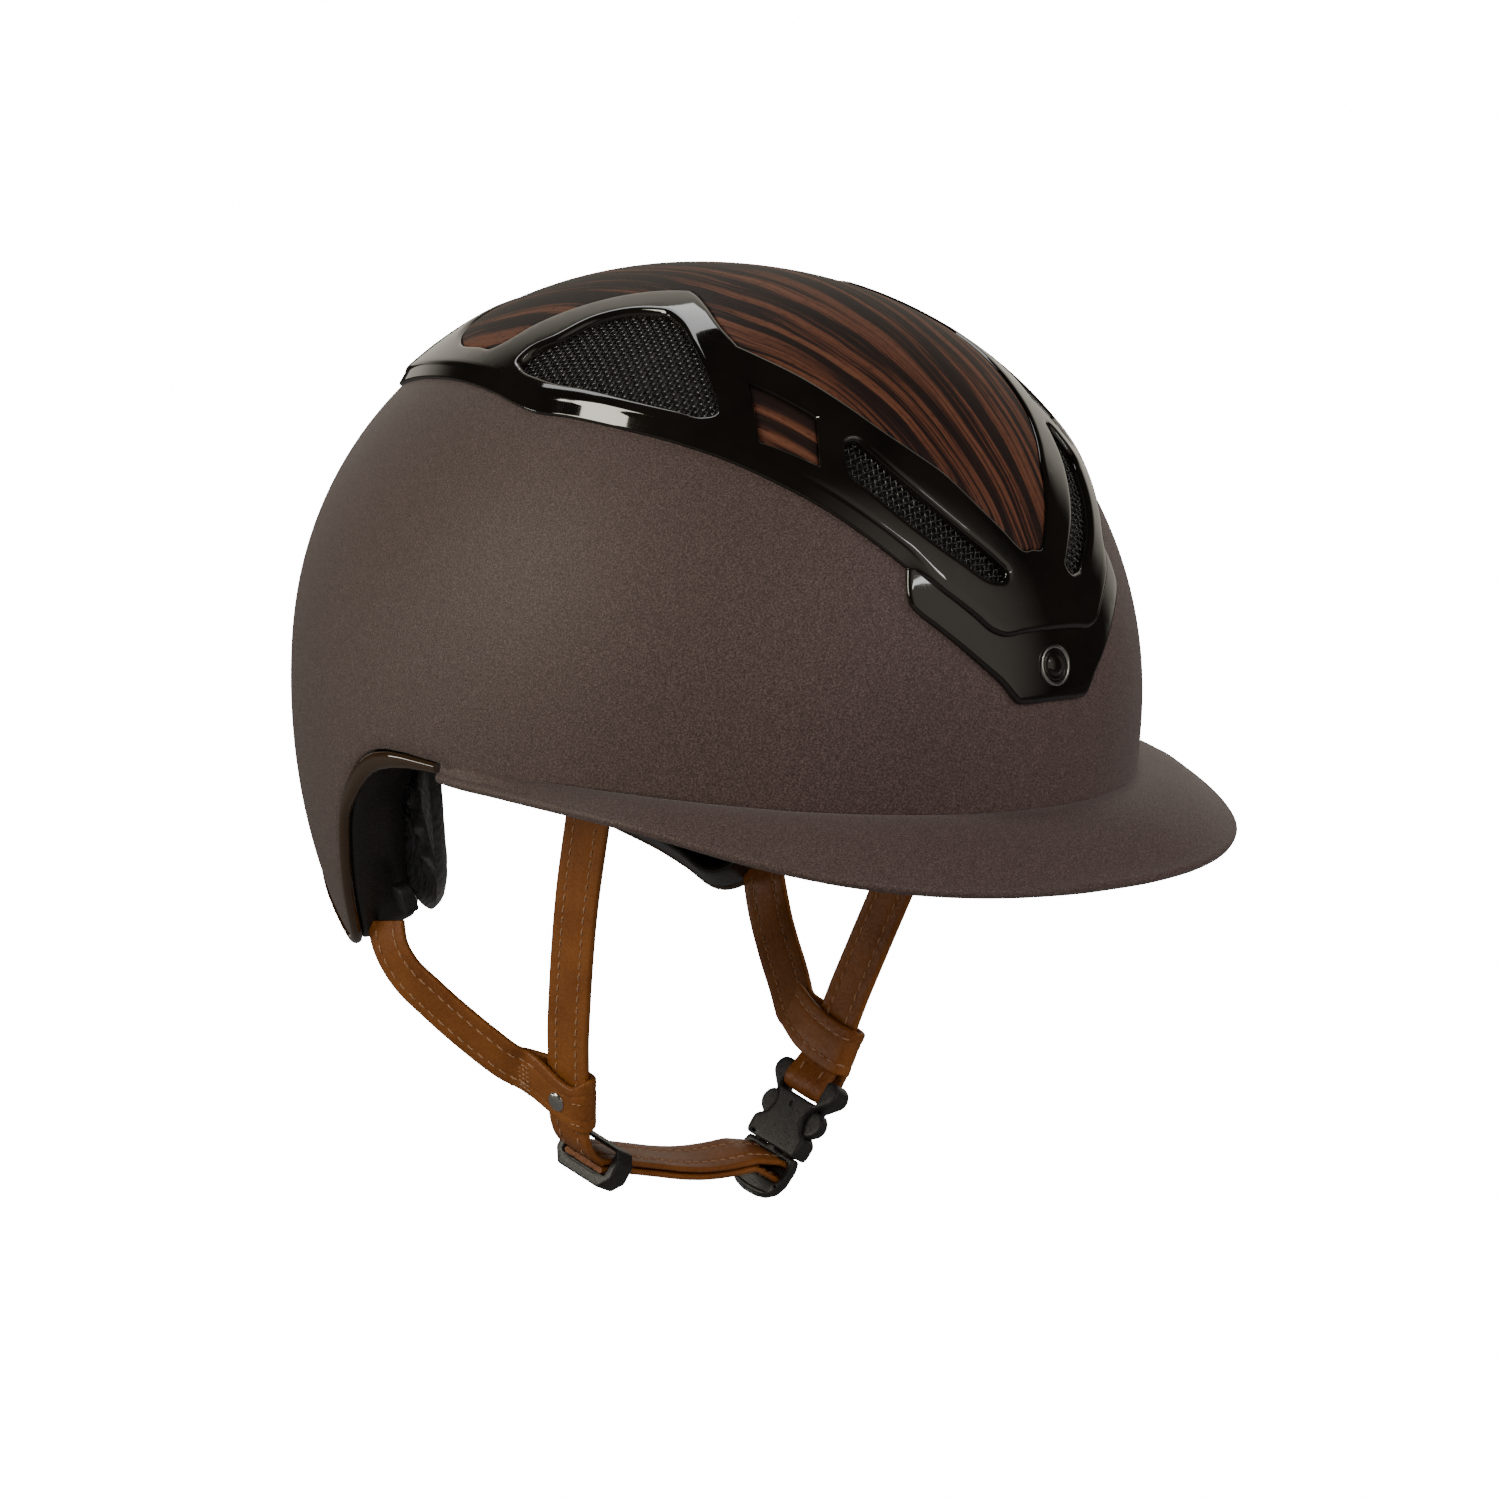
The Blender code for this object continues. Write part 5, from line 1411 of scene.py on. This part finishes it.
def make_socket():
    """Female half: bar between round ears, scalloped windows with raised rims, open mouth."""
    side = (arc((9.3, 0.0), 3.7, -100, 55, 10) + arc((11.7, 10.0), 5.3, 232, 132, 10)
            + [(9.6, 14.9), (10.5, 16.0), (10.6, 18.2), (10.4, 20.4), (9.7, 21.5)])
    outline = eased(both_sides([(5.6, -2.4)] + side), 0.5)
    window = eased(box_outline(-BAR_HALF, BAR_HALF, 1.5, 4.8), 1.2)
    build = Build()
    slab(build, BUCKLE, outline, rounded_edge(3.5, 0.9), 1.2, [window], rounded_edge(3.5, 0.5))
    body = build.mesh("buckle_socket_body", PLASTIC)
    mouth = block(box_outline(-MOUTH_HALF, MOUTH_HALF, 7.4, 25), -2.05, 2.05)
    over_bar = [block(box_outline(-BAR_HALF, BAR_HALF, -6.0, 1.7), *heights) for heights in ((1.5, 6), (-6, -1.5))]
    notch = block(box_outline(-BAR_HALF, BAR_HALF, -6.0, -1.5), -6, 6)
    dimples = [block(arc((0.0, 7.9), 0.95, 0, 330, 11), h, h + 1.2) for h in (2.9, -4.1)]
    cut(body, mouth, *over_bar, notch, *dimples)
    settle(body, nodes=["buckle_socket"])
    rims = Build()
    for sign in (-1, 1):
        for face in (-1, 1):
            path = np.array([(sign * (11.7 + 5.85 * math.cos(t)), 10.0 + 5.85 * math.sin(t))
                             for t in np.radians(np.linspace(228, 136, 22))])
            add_round(rims, BUCKLE.at(path, face * 3.45), INWARD * face, 0.55, 0.5)
    for sign in (-1, 1):
        add_round(rims, BUCKLE.at([(sign * 9.6, y) for y in np.linspace(16.0, 20.8, 8)], 3.42), INWARD, 0.45, 0.3)
    rims.piece("buckle_socket_rims", PLASTIC)


def add_round(build, path, out, wide, high, sides=10, taper=True):
    """A low bead along a path, as wide and as high as given, tapered at its ends."""
    side = unit_rows(np.cross(directions(path), out))
    ring = circle(sides)
    sections = []
    for i, (p, s) in enumerate(zip(path, side)):
        share = min(i, len(path) - 1 - i) / 2.0
        size = min(1.0, 0.35 + 0.65 * share) if taper else 1.0
        sections.append(p + size * (wide * ring[:, :1] * s + high * ring[:, 1:] * out))
    build.tube(sections)


def make_tongue():
    """Male half: guide spine and a rounded frame with the ladder bar."""
    outline = eased([(1.5, 9.3), (1.5, 21.65), (9.7, 21.65), (10.7, 24.6), (10.4, 30.2), (8.9, 33.6), (5.6, 36.0),
                     (2.0, 36.9), (-2.0, 36.9), (-5.6, 36.0), (-8.9, 33.6), (-10.4, 30.2), (-10.7, 24.6),
                     (-9.7, 21.65), (-1.5, 21.65), (-1.5, 9.3)], 0.7)
    window = eased(box_outline(-8.5, 8.5, LADDER_BAR - 3.3, LADDER_BAR + 3.5), 1.4)
    build = Build()
    slab(build, BUCKLE, outline, rounded_edge(1.75, 0.8), 1.2, [window], rounded_edge(1.75, 0.7))
    bar = BUCKLE.at([(x, LADDER_BAR) for x in np.linspace(-9.2, 9.2, 12)])
    add_round(build, bar, INWARD, 1.15, 1.05, 14, False)
    crest = BUCKLE.at([(x, 35.3 - 0.018 * x * x) for x in np.linspace(-7.6, 7.6, 18)], 1.7)
    add_round(build, crest, INWARD, 0.75, 0.55, 12)
    build.piece("buckle_tongue_body", PLASTIC, "tongue", ["buckle_tongue"])


def make_arms():
    """Springy release arms that bulge out of the socket's windows, with a grip face and ridges."""
    shape = [(4.3, 21.6), (7.6, 21.6), (7.2, 18.4), (7.8, 16.0), (9.7, 14.0), (11.7, 12.3), (12.4, 10.0), (11.7, 7.8),
             (9.9, 6.4), (7.6, 6.5), (5.8, 7.8), (6.3, 10.5), (5.7, 15.5), (4.9, 18.5)]
    for name, sign in (("front", -1), ("rear", 1)):
        build = Build()
        outline = anticlockwise(smooth_loop([(x * sign, y) for x, y in shape], 0.4))
        slab(build, BUCKLE, outline, rounded_edge(1.85, 0.6), 1.0)
        for y in (8.8, 10.2, 11.6):
            x = 12.1 - 0.09 * (y - 10.2) ** 2
            add_round(build, BUCKLE.at([(sign * x, y)] * 6, np.linspace(-1.3, 1.3, 6)), -ACROSS * sign, 0.28, 0.22)
        build.piece(f"release_arm_{name}_body", PLASTIC, f"arm_{name}", [f"release_arm_{name}"])


def make_slider():
    """Boat-shaped strap slide: a long frame with chamfered ends and a bar across its middle."""
    slope = unit(SLIDER_SLOPE)
    up = X_AXIS * -slope[1] + CHIN_RISE * slope[0]
    plane = Plane(chin_point(*SLIDER_PLACE), ACROSS, up, np.cross(ACROSS, up))
    half_long = 3.7
    outline = eased([(-11.8, -2.4), (-8.6, -6.3), (8.6, -6.3), (11.8, -2.4), (11.8, 2.8), (9.4, 6.2), (-9.4, 6.2),
                     (-11.8, 2.8)], 0.7)
    slot = eased(box_outline(-9.1, 9.1, -2.3, 5.2), 0.6)
    build = Build()
    slab(build, plane, outline, rounded_edge(half_long, 0.7), 1.2, [slot], rounded_edge(half_long, 0.5))
    for end in (-1, 1):
        path = plane.at([(x, -3.0) for x in np.linspace(-7.6, 7.6, 12)], end * (half_long - 0.1))
        add_round(build, path, plane.axes[2] * end, 0.5, 0.4)
    build.piece("strap_slider_body", PLASTIC, "slider", ["strap_slider"])


# Label, place on the wearer's left, width, height and depth of the straps' anchor plates
ANCHORS = (("front", (79.0, -38.6, 35.5), 20.0, 10.0, 3.0), ("rear", (76.6, 44.6, -49.8), 8.0, 8.0, 4.0))


def make_anchors():
    """Moulded plates that hold the straps' upper ends, with domed screws."""
    for side, sign in SIDES:
        for label, place, width, height, depth in ANCHORS:
            spot = np.array(place) * (sign, 1, 1)
            out = DOME.normal([spot])[0]
            level = unit([-out[1], out[0], 0])
            plane = Plane(spot, level, np.cross(out, level), out)
            outline = eased(box_outline(-width / 2, width / 2, -height / 2, height / 2), 1.8)
            build = Build()
            slab(build, plane, outline, rounded_edge(depth / 2, 0.6), 1.5)
            build.piece(f"{label}_anchor_plate_{side}", ANCHOR, nodes=[f"{label}_anchor_{side}"])
            seat = Plane(spot - out * (depth / 2 - 0.1), level, -np.cross(out, level), -out)
            head = [(3.0, 0.0), (3.0, 0.45), (2.7, 0.9), (1.9, 1.2), (0.9, 1.3), (0.0, 1.32)]
            revolve(f"{label}_anchor_screw_head_{side}", seat, head, STEEL,
                    [f"{label}_anchor_screw_{side}"])


make_shell()
make_top_frame()
make_wood()
make_badge()
make_vent_meshes()
add_shade_under_vents()
make_peak()
make_rim_trims()
make_liner()
make_pads()
make_front_straps()
make_rear_straps()
make_rivet()
make_chin_strap()
make_socket()
make_tongue()
make_arms()
make_slider()
make_anchors()


# -------------------------------------------------------------------------------------- stage and camera

def area_light(name, place, target, size, power, colour):
    data = bpy.data.lights.new(name, "AREA")
    data.shape = "RECTANGLE"
    data.size, data.size_y = size
    data.energy = power
    data.color = colour
    made = add_object(name, data)
    made.location = place
    made.rotation_euler = (Vector(target) - Vector(place)).to_track_quat("-Z", "Y").to_euler()
    return made


def make_stage():
    floor = bpy.data.meshes.new("floor")
    corners = box_outline(-FLOOR_HALF, FLOOR_HALF, -FLOOR_HALF, FLOOR_HALF)
    floor.from_pydata([(x, y, FLOOR_HEIGHT) for x, y in corners], [], [(0, 1, 2, 3)])
    made = add_object("floor", floor)
    material = bpy.data.materials.new("pale_floor")
    material.use_nodes = True
    tree = material.node_tree
    base = tree.nodes["Principled BSDF"]
    base.inputs["Base Color"].default_value = (0.16, 0.16, 0.16, 1.0)
    base.inputs["Roughness"].default_value = 1.0
    base.inputs["Specular IOR Level"].default_value = 0.0
    split_seen(tree, base.outputs[0], tree.nodes["Material Output"], "ShaderNodeEmission")
    floor.materials.append(material)

    world = bpy.data.worlds.new("studio")
    bpy.context.scene.world = world
    world.use_nodes = True
    tree = world.node_tree
    background = tree.nodes["Background"]
    direction = tree.nodes.new("ShaderNodeTexCoord").outputs["Generated"]
    white = facing_share(tree, direction, (0.74, 0.66, 0.10), 0.62, 0.86, STUDIO_DARK, BACKDROP_WHITE)
    card = facing_share(tree, direction, (-0.12, -0.96, 0.25), 0.58, 0.93, 0.0, FRONT_CARD)
    total = tree.nodes.new("ShaderNodeMath")
    tree.links.new(white, total.inputs[0])
    tree.links.new(card, total.inputs[1])
    background.inputs["Color"].default_value = (1.0, 0.93, 0.80, 1.0)
    tree.links.new(total.outputs[0], background.inputs["Strength"])
    split_seen(tree, background.outputs[0], tree.nodes["World Output"], "ShaderNodeBackground")

    for name, place, target, size, power, colour, shows in LIGHTS:
        area_light(name, place, target, size, power, colour).visible_glossy = shows


def facing_share(tree, direction, towards, start, end, low, high):
    """A strength that rises from low to high as a world direction nears the given one."""
    dot = tree.nodes.new("ShaderNodeVectorMath")
    dot.operation = "DOT_PRODUCT"
    tree.links.new(direction, dot.inputs[0])
    dot.inputs[1].default_value = unit(towards)
    share = tree.nodes.new("ShaderNodeMapRange")
    share.interpolation_type = "SMOOTHSTEP"
    tree.links.new(dot.outputs["Value"], share.inputs["Value"])
    for key, value in (("From Min", start), ("From Max", end), ("To Min", low), ("To Max", high)):
        share.inputs[key].default_value = value
    return share.outputs["Result"]


def split_seen(tree, unseen, output, kind):
    """Shows plain white to the camera, and the given dimmer shader to every other ray."""
    seen = tree.nodes.new(kind)
    seen.inputs["Color"].default_value = (1.0, 1.0, 1.0, 1.0)
    seen.inputs["Strength"].default_value = SEEN_WHITE
    path = tree.nodes.new("ShaderNodeLightPath")
    mix = tree.nodes.new("ShaderNodeMixShader")
    tree.links.new(path.outputs["Is Camera Ray"], mix.inputs["Fac"])
    tree.links.new(unseen, mix.inputs[1])
    tree.links.new(seen.outputs[0], mix.inputs[2])
    tree.links.new(mix.outputs[0], output.inputs["Surface"])


def make_camera():
    data = bpy.data.cameras.new("camera")
    data.lens = LENS_MM
    data.sensor_width = 36.0
    data.clip_start = 0.05
    made = add_object("camera", data)
    azimuth, elevation = math.radians(CAMERA_AZIMUTH), math.radians(CAMERA_ELEVATION)
    back = Vector((math.sin(azimuth) * math.cos(elevation), -math.cos(azimuth) * math.cos(elevation),
                   math.sin(elevation)))
    level = Vector((math.cos(azimuth), math.sin(azimuth), 0))
    rise = back.cross(level)
    roll = math.radians(CAMERA_ROLL)
    right = level * math.cos(roll) + rise * math.sin(roll)
    up = back.cross(right)
    turn = Matrix((right, up, back)).transposed().to_4x4()
    made.matrix_world = Matrix.Translation(Vector(CAMERA_TARGET) + back * CAMERA_DISTANCE) @ turn
    bpy.context.scene.camera = made


make_stage()
make_camera()
